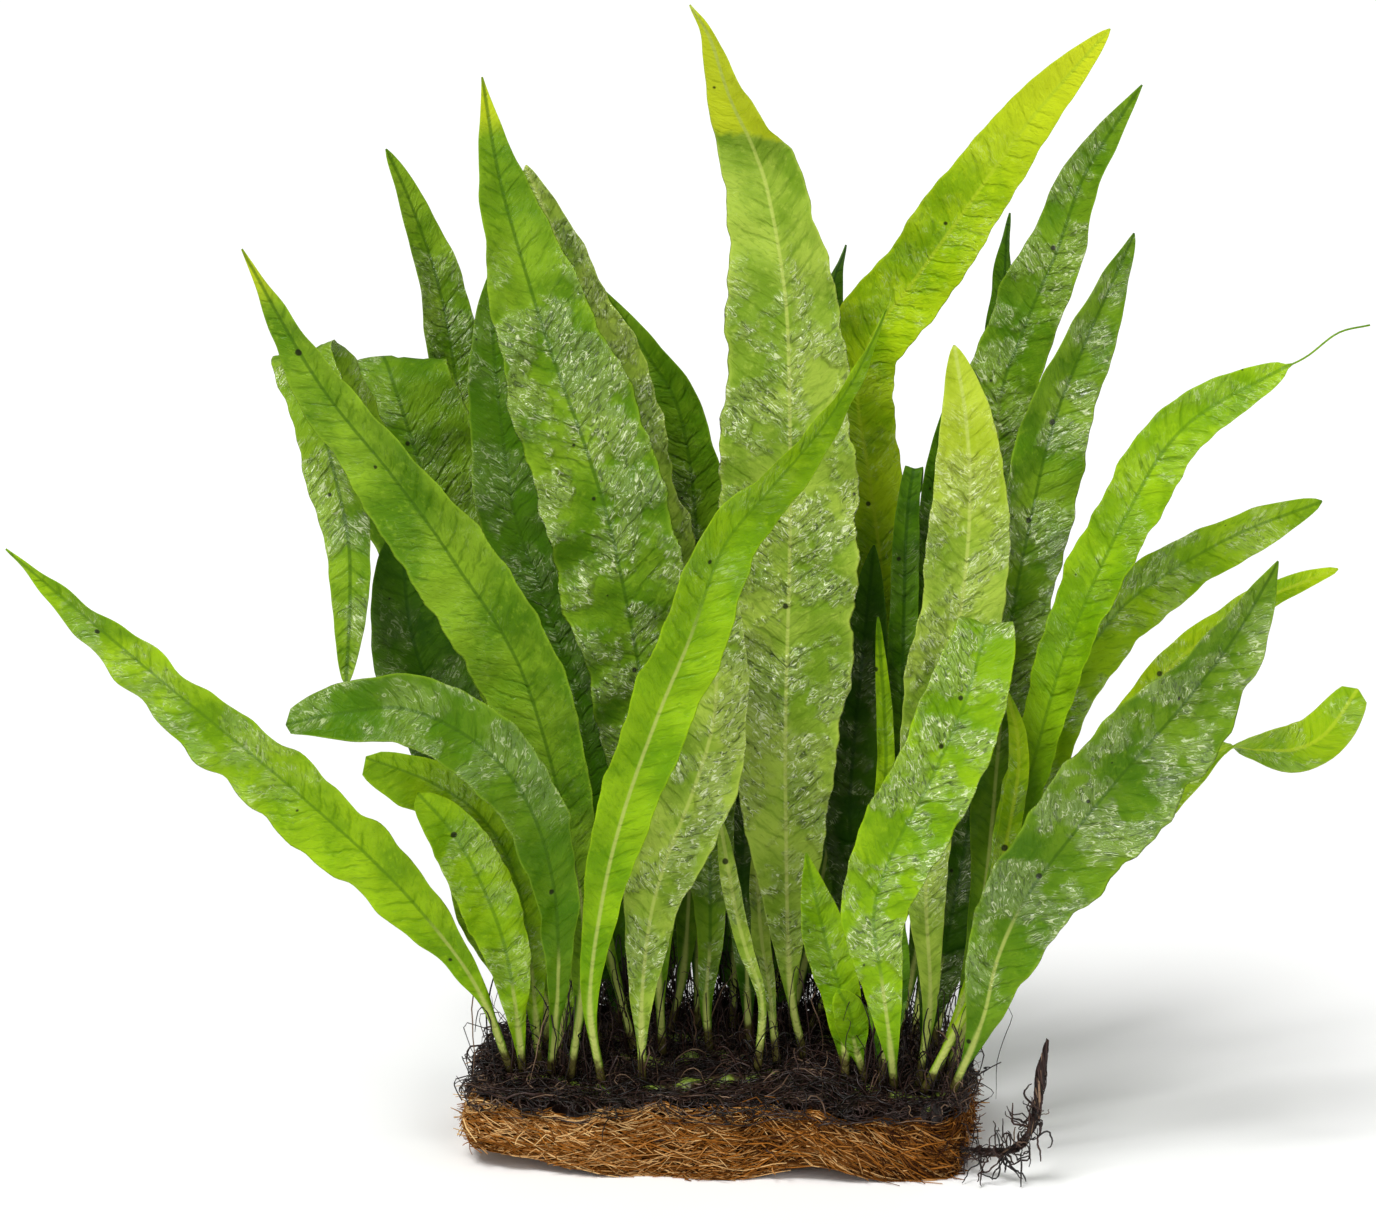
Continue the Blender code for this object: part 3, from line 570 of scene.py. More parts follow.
LEAVES = (
    # Left side, from the front
    Leaf((-53, -13), 23, BRIGHT, stalk=0.08, widest=0.47, taper=2, roll=(10, 20, 30), ruffle=2.4,
         satin=0.4, wet=(0.5, 0.88),
         route=((-62, 41, -18), (-81, 65, -24), (-107, 89, -31), (-141, 117, -38), (-179, 149, -45))),
    Leaf((-38, -19), 25, MID, widest=0.54, taper=2.5, roll=(0, 12, 25), ruffle=1.8, tip=0.05, tip_soft=12,
         tip_full=0.7, gloom=(0.3, 0.15, 0.0), satin=0.05,
         route=((-35, 41, -24), (-36, 66, -29), (-49, 116, -38), (-67, 146, -42), (-82, 167, -45),
                (-101, 191, -48), (-120, 224, -52))),
    Leaf((-43, -17), 20, MID, widest=0.7, taper=1.2, roll=(0, -15, -20), ruffle=1.7, gloom=(0.6,),
         satin=0.4, wet=(0.5, 1),
         route=((-41, 46, -32), (-43, 69, -42), (-50, 88, -52), (-62, 101, -58), (-79, 109, -62),
                (-95, 108, -64), (-109, 105, -62))),
    Leaf((-46, -11), 20, BRIGHT, widest=0.73, taper=1.1, roll=(0, 10, 10), ruffle=1.8, satin=0.3,
         route=((-48, 48, -19), (-52, 68, -27), (-60, 82, -34), (-73, 91, -40), (-89, 97, -46))),
    Leaf((-50, -15), 17, BRIGHT, taper=1.5, roll=(0, -10, -10), ruffle=1.8, satin=0.45,
         route=((-52, 37, -22), (-55, 52, -30), (-61, 67, -39), (-68, 79, -47), (-76, 88, -53))),
    Leaf((-52, -8), 13, MID, stalk=0.3, widest=0.54, taper=1.4, roll=(0, 15, 0), satin=0.3,
         route=((-52, 35, -9), (-55, 47, -12), (-60, 57, -15), (-67, 68, -18))),
    Leaf((-42, -12), 15, MID, widest=0.56, roll=(0, 10, 0), ruffle=1.5, satin=0.3,
         route=((-40, 36, -9), (-43, 56, -11), (-46, 76, -13), (-50, 98, -16))),
    Leaf((-44, 4), 25, DEEP, taper=1.7, gloom=(0.6, 0.3), satin=0.3,
         route=((-46, 56, 0), (-58, 88, -4), (-71, 110, -8), (-78, 130, -11), (-80, 156, -14))),
    Leaf((-38, 6), 17, MID, taper=1.8, fold=-8, side=(1, 0.2), ragged=0.1, satin=0.6, wet=(0.6, 1),
         route=((-44, 60, 12), (-60, 105, 14), (-80, 150, 10), (-95, 185, 0), (-104, 198, -13),
                (-101, 184, -26), (-94, 155, -33), (-93, 137, -35), (-94, 115, -35))),
    Leaf((-31, 8), 33, MID, taper=1.5, fold=-9, side=(1, 0.0), ruffle=1.8, gloom=(0.5, 0.2), satin=0.3,
         wet=(0.4, 1),
         route=((-42, 70, 16), (-58, 125, 22), (-72, 160, 24), (-81, 187, 23), (-85, 197, 30),
                (-88, 190, 40), (-91, 170, 46), (-92, 150, 50))),
    Leaf((-22, 3), 18, MID, roll=(0, -15, -35), ruffle=1.6, satin=0.5, wet=(0.5, 0.9),
         route=((-34, 70, 27), (-51, 130, 40), (-64, 178, 49), (-70, 211, 50), (-77, 233, 49),
                (-84, 249, 47))),
    # Middle, from the front
    Leaf((-30, -24), 19, BRIGHT, widest=0.54, roll=(0, -10, -58), ruffle=1.4, gloom=(0.3, 0.35, 0.2, 0.1),
         rib_end=0.7, wet=(0.6, 0.95),
         route=((-33, 36, -30), (-30, 61, -35), (-25, 82, -40), (-17, 105, -44), (-8, 127, -46),
                (0, 149, -46), (11, 163, -43), (23, 177, -40), (33, 192, -38), (41, 209, -36))),
    Leaf((-20, -21), 23, PALE, taper=1.7, roll=(0, 12, 20), ruffle=1.8, satin=0.9, wet=(0.1, 1),
         route=((-20, 36, -23), (-18, 56, -24), (-14, 71, -26), (-7, 89, -28), (-2, 106, -28),
                (-1, 124, -26), (1, 141, -23))),
    Leaf((-15, 2), 34, MID, widest=0.56, taper=2.7, roll=(0, -5, -22), ruffle=2.1, tip=0.05, tip_soft=10,
         tip_full=0.9, gloom=(0.3, 0.3, 0.1, 0.2), satin=0.85, wet=(0.32, 0.8),
         route=((-16, 46, -6), (-18, 99, -13), (-26, 146, -16), (-33, 171, -16), (-42, 196, -15),
                (-50, 221, -13), (-56, 243, -10), (-60, 267, -5))),
    Leaf((-34, 6), 20, MID, roll=(0, 15, 10), gloom=(1, 0.95, 0.7), satin=0.35, wet=(0.4, 0.95),
         route=((-33, 46, 0), (-33, 96, 1), (-44, 136, 1), (-52, 159, 1), (-57, 199, 4), (-57, 220, 6))),
    Leaf((-21, 23), 22, PALE, widest=0.69, taper=2.1, roll=(0, 10, 30), ragged=0.14, satin=0.8,
         wet=(0.3, 1),
         route=((-20, 50, 15), (-18, 100, 13), (-15, 140, 12), (-25, 188, 12), (-36, 214, 13),
                (-49, 245, 14))),
    Leaf((-13, 22), 20, MID, widest=0.52, taper=2, ruffle=1.6, gloom=(0.5, 0.4), satin=0.7,
         wet=(0.3, 0.75),
         route=((-9, 50, 24), (-7, 100, 27), (-6, 146, 28), (-10, 181, 28), (-19, 198, 28),
                (-31, 215, 28))),
    Leaf((-6, 24), 21, DEEP, gloom=(0.6,), satin=0.4,
         route=((-6, 60, 34), (-7, 110, 41), (-7, 150, 44), (-9, 190, 45))),
    Leaf((21, -2), 37, PALE, widest=0.46, taper=2, roll=(0, 6, 24), ruffle=1.8, tip=0.145, tip_soft=1.5,
         tip_slant=0.45, gloom=(0.2, 0.1, 0.1), satin=0.9, wet=(0.1, 0.72),
         route=((17, 41, -4), (16, 79, -7), (16, 111, -8), (17, 150, -7), (17, 182, -5), (16, 211, -2),
                (12, 236, 3), (8, 249, 6), (2, 262, 0), (-3, 277, -8), (-8, 285, -12))),
    Leaf((7, 9), 14, DEEP, gloom=(0.6,), satin=0.5,
         route=((6, 50, 9), (5, 69, 9), (6, 86, 8), (8, 115, 7))),
    Leaf((-3, 6), 15, MID, widest=0.73, taper=2, gloom=(0.4,), satin=0.5,
         route=((-4, 36, 4), (-3, 51, 4), (-3, 74, 4), (-3, 118, 5))),
    Leaf((9, -13), 6, PALE, stalk=0.25, widest=0.6, taper=2.5, satin=0.5,
         route=((10, 36, -13), (6, 49, -14), (3, 61, -15), (-1, 84, -17))),
    Leaf((14, -7), 6, PALE, stalk=0.2, widest=0.56, taper=2.1, roll=(0, 20, 0), satin=0.6,
         route=((12, 39, 1), (10, 52, 3), (9, 64, 3), (8, 76, 2))),
    Leaf((31, -20), 13, BRIGHT, widest=0.51, taper=2.1, gloom=(0.4, 0.3), satin=0.3,
         route=((30, 36, -19), (27, 47, -19), (24, 59, -20), (21, 73, -21))),
    Leaf((36, -22), 10, BRIGHT, stalk=0.2, widest=0.61, taper=1.5, gloom=(0.4, 0.3),
         route=((33, 26, -26), (32, 33, -29), (29, 39, -32))),
    Leaf((28, 22), 17, DEEP, widest=0.6, taper=2.1, gloom=(0.6,), satin=0.5,
         route=((32, 61, 14), (32, 86, 12), (34, 111, 12), (38, 150, 12))),
    Leaf((33, 20), 22, YELLOW, widest=0.66, roll=(0, 0, 20, 38), tip=0.12, tip_soft=70, satin=0.2,
         route=((36, 61, 26), (39, 110, 27), (40, 140, 27), (37, 166, 27), (34, 187, 26), (37, 201, 24),
                (48, 216, 20), (61, 234, 13), (77, 256, 3), (97, 279, -12))),
    Leaf((18, 26), 17, DEEP, widest=0.6, taper=2.1, roll=(0, -20, -45), satin=0.4,
         route=((27, 80, 34), (29, 130, 39), (30, 161, 40), (28, 190, 40), (27, 212, 39), (31, 225, 36))),
    # Right side, from the front
    Leaf((43, -28), 24, BRIGHT, widest=0.63, taper=1.4, ruffle=1.6, gloom=(0.45, 0.35, 0.1, 0.3, 0.8),
         satin=0.85, wet=(0.2, 0.95),
         route=((42, 26, -38), (40, 41, -42), (38, 58, -45), (43, 74, -48), (52, 91, -49), (60, 109, -47),
                (65, 125, -43), (66, 130, -38), (66, 124, -33))),
    Leaf((57, -33), 33, MID, stalk=0.06, widest=0.55, taper=2.1, roll=(0, -12, -28), ruffle=2.4,
         gloom=(0.5, 0.45, 0.3), rib_end=0.45, satin=0.65, wet=(0.2, 0.92),
         route=((65, 31, -43), (69, 47, -46), (76, 62, -49), (87, 77, -52), (101, 94, -55),
                (115, 110, -57), (128, 127, -58), (139, 146, -58))),
    Leaf((50, -32), 15, YELLOW, stalk=0.12, widest=0.75, taper=1.1,
         roll=(0, 0, -10, -20, -10, 20, 90, 180, 200), fold=6, ruffle=0.6, gloom=(0.1, 0.2, 0.5),
         satin=0.3, wet=(0.2, 1),
         route=((66, 42, -34), (82, 63, -35), (97, 76, -36), (112, 90, -36), (126, 99, -35),
                (134, 99, -34), (143, 99, -33), (151, 103, -32), (159, 114, -30))),
    Leaf((40, -26), 12, DEEP, widest=0.56,
         route=((41, 34, -21), (42, 45, -19), (43, 61, -18))),
    Leaf((49, -27), 23, PALE, tip=0.2, tip_soft=40, tip_full=0.4, satin=0.75, wet=(0.25, 0.9),
         route=((52, 36, -24), (51, 61, -23), (51, 86, -23), (55, 111, -23), (60, 136, -21),
                (62, 161, -18), (61, 181, -14), (58, 200, -9))),
    Leaf((56, -22), 17, BRIGHT, widest=0.72, taper=1.9, thread=0.1, roll=(0, 15, 30, 15, 0), ragged=0.09,
         gloom=(0.6, 0.5, 0.1, 0.0), rib_end=0.4, satin=0.25, wet=(0.5, 1),
         route=((67, 49, -25), (73, 76, -26), (83, 114, -28), (89, 131, -29), (95, 145, -30),
                (102, 159, -31), (110, 173, -32), (120, 183, -32), (138, 193, -31), (146, 197, -30),
                (154, 203, -28), (162, 205, -27))),
    Leaf((57, -16), 19, BRIGHT, widest=0.68, taper=2.1, roll=(0, -12, -30), ragged=0.07, rib_end=0.5,
         satin=0.5, wet=(0.3, 0.95),
         route=((66, 46, -17), (71, 71, -17), (78, 95, -18), (85, 112, -18), (93, 126, -18),
                (104, 138, -18), (127, 152, -15), (150, 161, -9))),
    Leaf((53, -24), 7, YELLOW, stalk=0.3, widest=0.66, taper=2.3, gloom=(0.3,), satin=0.4,
         route=((66, 55, -34), (73, 86, -38), (74, 101, -38), (71, 114, -37))),
    Leaf((57, -10), 22, MID, roll=(0, -10, -34), ruffle=1.7, gloom=(0.4, 0.2), rib_end=0.55, satin=0.65,
         wet=(0.4, 0.98),
         route=((65, 60, -9), (69, 99, -10), (71, 124, -10), (78, 161, -10), (83, 181, -9), (90, 199, -7),
                (103, 228, -2))),
    Leaf((54, 6), 21, MID, widest=0.63, taper=2.6, roll=(0, 12, 32), ruffle=1.7, gloom=(0.5, 0.3),
         rib_end=0.75, satin=0.6, wet=(0.4, 0.95),
         route=((60, 60, 6), (68, 100, 7), (70, 131, 8), (69, 181, 8), (76, 205, 7), (84, 224, 4),
                (91, 243, 1), (105, 265, -6))),
    Leaf((57, -3), 10, YELLOW, widest=0.73, taper=2, roll=(0, 20, 35), satin=0.4,
         route=((70, 50, -1), (90, 88, -3), (110, 117, -2), (127, 131, 0), (137, 137, 2), (154, 144, 6))),
    Leaf((41, 14), 9, DEEP, taper=1.5,
         route=((44, 60, 6), (45, 110, 5), (46, 152, 6), (48, 169, 9), (49, 162, 15))),
    Leaf((37, 17), 6, BRIGHT,
         route=((40, 49, 3), (40, 79, -2), (41, 99, -3), (39, 132, -3))),
    Leaf((45, 12), 16, DEEP, satin=0.4,
         route=((50, 60, 14), (51, 110, 18), (54, 150, 20), (57, 187, 20))),
    Leaf((49, 10), 14, DEEP, roll=(0, 25, 50), satin=0.4,
         route=((54, 70, 26), (63, 130, 30), (69, 186, 30), (71, 221, 29), (72, 233, 28))),
    # Behind
    Leaf((-43, 25), 24, MID, stalk=0.08, roll=(0, 30, 50), **SHADED,
         route=((-50, 70, 40), (-62, 108, 52), (-78, 140, 60), (-96, 166, 66))),
    Leaf((-36, 24), 26, DEEP, stalk=0.06, roll=(0, -20, -45), **SHADED,
         route=((-26, 80, 46), (-32, 130, 60), (-42, 180, 68), (-50, 212, 70))),
    Leaf((3, 25), 24, DEEP, stalk=0.06, roll=(0, 20, 50), **SHADED,
         route=((4, 80, 52), (8, 130, 62), (12, 175, 68), (14, 205, 70))),
    Leaf((11, 26), 24, DEEP, stalk=0.06, roll=(0, -15, -40), **SHADED,
         route=((20, 62, 50), (25, 95, 68), (28, 122, 80), (30, 140, 86))),
    Leaf((23, 24), 22, MID, stalk=0.06, roll=(0, -25, -50), **SHADED,
         route=((46, 80, 46), (53, 120, 56), (59, 150, 62), (66, 172, 66))),
    Leaf((-28, 24), 22, DEEP, stalk=0.06, roll=(0, 15, 40), **SHADED,
         route=((-20, 46, 46), (-14, 72, 66), (-10, 92, 80), (-8, 104, 90))),
    Leaf((50, -4), 17, DEEP, widest=0.45, taper=2, gloom=(0.6,), satin=0.5,
         route=((55, 46, -4), (59, 66, -3), (63, 88, -2), (66, 112, -1))),
)


@dataclass
class Spine:
    """A leaf's midrib: its points, their shares of the length, and which way the blade lies there."""

    middle: Array
    along: Array
    length: float
    outwards: Array
    facing: Array


@dataclass
class Foliage:
    """All the leaves: each blade is a closed skin with a raised midrib, quilted between its veins.

    seat is the height of the stalks' feet, pitch the length of a row of faces, and stations are
    the places of the columns from the midrib to the margin. deepen is how much deeper than the
    solids the blades are folded, and crease how soft the fold is. The waves are wave lengths, and
    apart sets the leaves' patterns apart.
    """

    eye: Eye = field(default_factory=Eye)
    seat: float = 21.08
    pitch: float = 1.55
    stations: tuple[float, ...] = (0.0, 0.07, 0.18, 0.35, 0.54, 0.73, 0.88, 0.965, 1.0)
    thickness: float = 0.4
    stalk_half: float = 1.1
    stalk_swell: float = 0.55
    tip_half: float = 0.25
    rib_height: float = 0.55
    rib_wide: float = 0.45
    rib_flare: float = 0.75
    rib_above: float = 0.45
    quilt: float = 0.40
    quilt_start: float = 2.5
    cockling: float = 0.4
    crease: float = 0.02
    deepen: float = 1.5
    sway: float = math.radians(5.0)
    sway_waves: tuple[float, ...] = (95.0, 60.0)
    edge_waves: tuple[tuple[float, ...], ...] = ((43.0, 27.0), (13.0, 7.0), (47.0, 25.0), (12.0, 6.5))
    ruffle_waves: tuple[tuple[float, ...], ...] = ((37.0, 24.0, 15.0), (41.0, 26.0, 14.0))
    cockle_waves: tuple[tuple[float, ...], ...] = ((21.0, 13.0), (23.0, 14.0))
    stalk_end: float = 8.0
    stalk_fade: float = 0.28
    rib_pale: float = 0.35
    rib_fade: float = 0.2
    foot_run: float = 9.0
    wet_fade: float = 0.12
    apart: float = 400.0
    least_rows: int = 24
    seed: int = 1000

    def spine(self, leaf: Leaf, rng: Rng) -> Spine:
        """Lay out a leaf's midrib and turn its blade about it, with a little random sway.

        Args:
            leaf: The leaf.
            rng: The source of the sway.

        Returns:
            The midrib.
        """
        keys = np.array([(*leaf.foot, self.seat)] + [self.eye.seen(*point) for point in leaf.route])
        length = float(np.sum(np.linalg.norm(np.diff(keys, axis=0), axis=1)))
        rows = max(self.least_rows, round(length / self.pitch))
        middle = smooth_route(keys, rows + 1)
        tangent = unit(np.gradient(middle, axis=0))
        chord = keys[-1] - keys[0]
        side = (leaf.side[0], 0.0, leaf.side[1]) if leaf.side else (chord[2], 0.0, -chord[0])
        across = unit(side - np.sum(tangent * side, axis=1, keepdims=True) * tangent)
        outward = np.cross(across, tangent)
        along = np.linspace(0.0, 1.0, rows + 1)
        angle = np.radians(leaf.at(leaf.roll, along))
        angle = angle + self.sway * waves(along * length, self.sway_waves, rng) * ease(3.0 * along)
        cosine, sine = np.cos(angle)[:, None], np.sin(angle)[:, None]
        outwards, facing = across * cosine + outward * sine, outward * cosine - across * sine
        return Spine(middle, along, length, outwards, facing)

    def half_width(self, leaf: Leaf, along: Array) -> tuple[Array, Array]:
        """Give half a leaf's width at each place along it.

        The blade is a power curve that rises to 1 at its widest place and falls to 0 at the tip.

        Args:
            leaf: The leaf.
            along: Places from 0 at the foot to 1 at the tip.

        Returns:
            Half the width in millimetres, and the place along the blade from 0 to 1.
        """
        blade = np.clip((along - leaf.stalk) / (1.0 - leaf.stalk - leaf.thread), 0.0, 1.0)
        rising = (blade / leaf.widest) ** leaf.widest
        falling = ((1.0 - blade) / (1.0 - leaf.widest)) ** (1.0 - leaf.widest)
        shape = (rising * falling) ** np.where(blade < leaf.widest, leaf.rise / leaf.widest, leaf.taper)
        least = self.stalk_half + (self.tip_half - self.stalk_half) * blade
        return least + (0.5 * leaf.width - self.stalk_half) * shape, blade

    def rings(self, leaf: Leaf, spine: Spine, place: Array, rng: Rng) -> tuple[Array, Array]:
        """Shape a leaf's cross-sections.

        Each is a ring: the upper skin from margin to margin, and the lower skin back. It is a soft
        V, raised by the margins' waves, the swelling between veins, the rib and the round stalk.

        Args:
            leaf: The leaf.
            spine: Its midrib.
            place: The columns, from -1 at the left margin to 1 at the right.
            rng: The source of the waves.

        Returns:
            The rings' points, and each column's distance from the midrib in millimetres.
        """
        run = spine.along * spine.length
        half, blade = self.half_width(leaf, spine.along)
        body = np.sqrt(np.clip(np.sin(math.pi * blade), 0.0, 1.0))[:, None]
        away = np.abs(place)

        def by_side(lengths: Sequence[Sequence[float]]) -> Array:
            """Let each half of the blade wave by its own wave lengths."""
            return np.where(place < 0.0, *(waves(run, side, rng)[:, None] for side in lengths))

        left, left_fine, right, right_fine = (waves(run, edge, rng)[:, None] for edge in self.edge_waves)
        uneven = np.where(place < 0.0, left + 0.5 * left_fine, right + 0.5 * right_fine)
        reach = half[:, None] * (1.0 + leaf.ragged * body * uneven)
        offset = place * reach
        fold = math.radians(leaf.fold * self.deepen)
        valley = np.sqrt(place ** 2 + self.crease) - math.sqrt(self.crease)
        margin = away ** 2.0 * by_side(self.ruffle_waves)
        cockle = np.sin(math.pi * away) * by_side(self.cockle_waves)
        aside = np.abs(offset)
        swell = np.cos(2.0 * math.pi * (run[:, None] - VEIN_SLOPE * aside) / VEIN_GAP)
        swell = swell * np.clip(aside / self.quilt_start, 0.0, 1.0)
        lift = leaf.ruffle * body * (margin + self.cockling * cockle)
        lift = lift + self.quilt * body * swell * (1.0 - place ** 4)
        lift = lift + reach * valley * math.sin(fold)

        along = spine.along[:, None]
        rib_wide = self.rib_wide + self.rib_flare * (1.0 - along)
        rib = np.exp(-(offset / rib_wide) ** 2) * self.rib_height * (1.1 - along)
        round_off = np.sqrt(np.clip(1.0 - place ** 2, 0.0, 1.0))
        skin = 0.5 * self.thickness * round_off
        stalk = (1.0 - ease(blade * 12.0))[:, None] * round_off * self.stalk_swell
        facing = spine.facing[:, None]
        sheet = spine.middle[:, None] + (offset * math.cos(fold))[..., None] * spine.outwards[:, None]
        upper = sheet + (lift + skin + self.rib_above * rib + stalk)[..., None] * facing
        lower = sheet + (lift - skin - rib - stalk)[..., None] * facing
        return np.concatenate((upper, lower[:, -2:0:-1]), axis=1), offset

    def looks(self, leaf: Leaf, spine: Spine, offset: Array) -> Array:
        """Say what each point of the blade looks like, as the leaf finish reads it.

        Args:
            leaf: The leaf.
            spine: Its midrib.
            offset: Each column's distance from the midrib in millimetres.

        Returns:
            The tip's colour or the gloom, the film of water, and the stalk, at each point.
        """
        run = (spine.along * spine.length)[:, None]
        along = spine.along[:, None]
        past = (run - (1.0 - leaf.tip) * spine.length + leaf.tip_slant * offset) / leaf.tip_soft
        young = leaf.tip_full * ease(past + 0.5) if leaf.tip else np.zeros_like(offset)
        young = young - leaf.at(leaf.gloom, along)
        stem = np.maximum(1.0 - ease((run - self.stalk_end) / (self.stalk_fade * spine.length)),
                          self.rib_pale * ease((leaf.rib_end - along) / self.rib_fade))
        stem = stem + 1.0 - ease(run / self.foot_run)
        start, stop = (along - leaf.wet[0]) / self.wet_fade, (leaf.wet[1] - along) / self.wet_fade
        film = leaf.satin * (ease(start + 0.5) * ease(stop + 0.5))
        return np.stack(np.broadcast_arrays(young, film, stem), axis=-1)

    def build(self, number: int, leaf: Leaf, material: Material) -> Object:
        """Build one leaf.

        Args:
            number: The leaf's number, which also seeds its waves.
            leaf: The leaf.
            material: Its finish.

        Returns:
            The leaf's object.
        """
        rng = np.random.default_rng(self.seed + number)
        spine = self.spine(leaf, rng)
        place = np.concatenate((-np.array(self.stations[:0:-1]), self.stations))
        rings, offset = self.rings(leaf, spine, place, rng)
        columns = len(place)
        twin = np.concatenate((np.arange(columns), np.arange(columns - 2, 0, -1)))
        run = (spine.along * spine.length)[:, None] + self.apart * number
        blade = np.stack(np.broadcast_arrays(offset, run, np.abs(place)), axis=-1)[:, twin]
        looks = self.looks(leaf, spine, offset)[:, twin]
        return make_piece(f"frond_{number:02d}", rings.reshape(-1, 3), tube_faces(*rings.shape[:2]), material,
                          {"blade": blade.reshape(-1, 3), "looks": looks.reshape(-1, 3)})

    def dress(self) -> None:
        """Build every leaf in its finish, in place of its solid."""
        finishes = {tone: finish.material() for tone, finish in LEAF_FINISHES.items()}
        for number, leaf in enumerate(LEAVES, start=1):
            piece = self.build(number, leaf, finishes[leaf.tone])
            report_piece(piece, [f"leaf_{number:02d}"])


@dataclass(frozen=True)
class FibreFinish:
    """Dry or wet plant hair: each strand has its own shade, from dark to light."""

    name: str
    dark: str
    middle: str
    light: str
    roughness: float
    shine: float

    def material(self) -> Material:
        """Build the material: the shade attribute picks the colour, and fine streaks vary it."""
        material, tree, shader = new_material(self.name)
        shade = attribute(tree, "shade", "Fac")
        where = add_node(tree, "ShaderNodeTexCoord").outputs["Object"]
        mixed = compute(tree, "MULTIPLY_ADD", noise(tree, where, 160.0, 3.0), 0.5, shade)
        mixed = compute(tree, "SUBTRACT", mixed, 0.25)
        stops = ((0.0, linear(self.dark)), (1.0, linear(self.light)), (0.55, linear(self.middle)))
        colour = add_node(tree, "ShaderNodeValToRGB", {0: mixed}, stops=stops).outputs[0]
        set_inputs(tree, shader, {"Base Color": colour, "Roughness": self.roughness,
                                  "Specular IOR Level": self.shine})
        return material


COIR = FibreFinish("coconut_coir_fibre", "#331503", "#A0631F", "#E8C083", 0.7, 0.12)
ROOT = FibreFinish("wet_fern_root_hair", "#0A0504", "#38231D", "#95795F", 0.4, 0.35)
STRAND_SIDES = 3
CORE_SHADE = 0.1


def strand_piece(name: str, paths: Array, thick: Array, shade: Array, material: Material) -> Object:
    """Make one piece of many strands that thin out towards both ends.

    Args:
        name: The piece's name.
        paths: Points, as strands by points by three, in millimetres.
        thick: Each strand's radius in millimetres.
        shade: Each strand's shade, from 0 to 1.
        material: What the strands are made of.

    Returns:
        The new object.
    """
    knots = paths.shape[1]
    taper = 0.35 + 0.65 * np.sin(math.pi * np.linspace(0.08, 0.92, knots))
    points, faces = sweep(paths, (thick[:, None] * taper)[..., None], STRAND_SIDES)
    return make_piece(name, points, faces, material, {"shade": np.repeat(shade, knots * STRAND_SIDES)})


def drifting(rng: Rng, heading: Array, swing: float, pitch: tuple[float, float],
             lift: tuple[float, float], long: tuple[float, float], knots: int) -> Array:
    """Return curling paths from the origin, whose heading and pitch drift at random.

    Args:
        rng: The source of the drift.
        heading: Each path's first heading in radians.
        swing: The spread of the heading's drift at a knot.
        pitch: The range of the first pitches.
        lift: The mean and the spread of the pitch's drift at a knot.
        long: The range of the lengths in millimetres.
        knots: How many points a path has.

    Returns:
        Paths, as strands by points by three.
    """
    size = (len(heading), knots)
    heading = heading + np.cumsum(rng.normal(0.0, swing, size), axis=1)
    pitches = rng.uniform(*pitch, (len(heading), 1)) + np.cumsum(rng.normal(*lift, size), axis=1)
    step = rng.uniform(*long, (len(heading), 1)) / knots
    parts = (step * np.cos(heading) * np.cos(pitches), step * np.sin(heading) * np.cos(pitches),
             step * np.sin(pitches))
    return np.cumsum(np.stack(parts, axis=-1), axis=1)


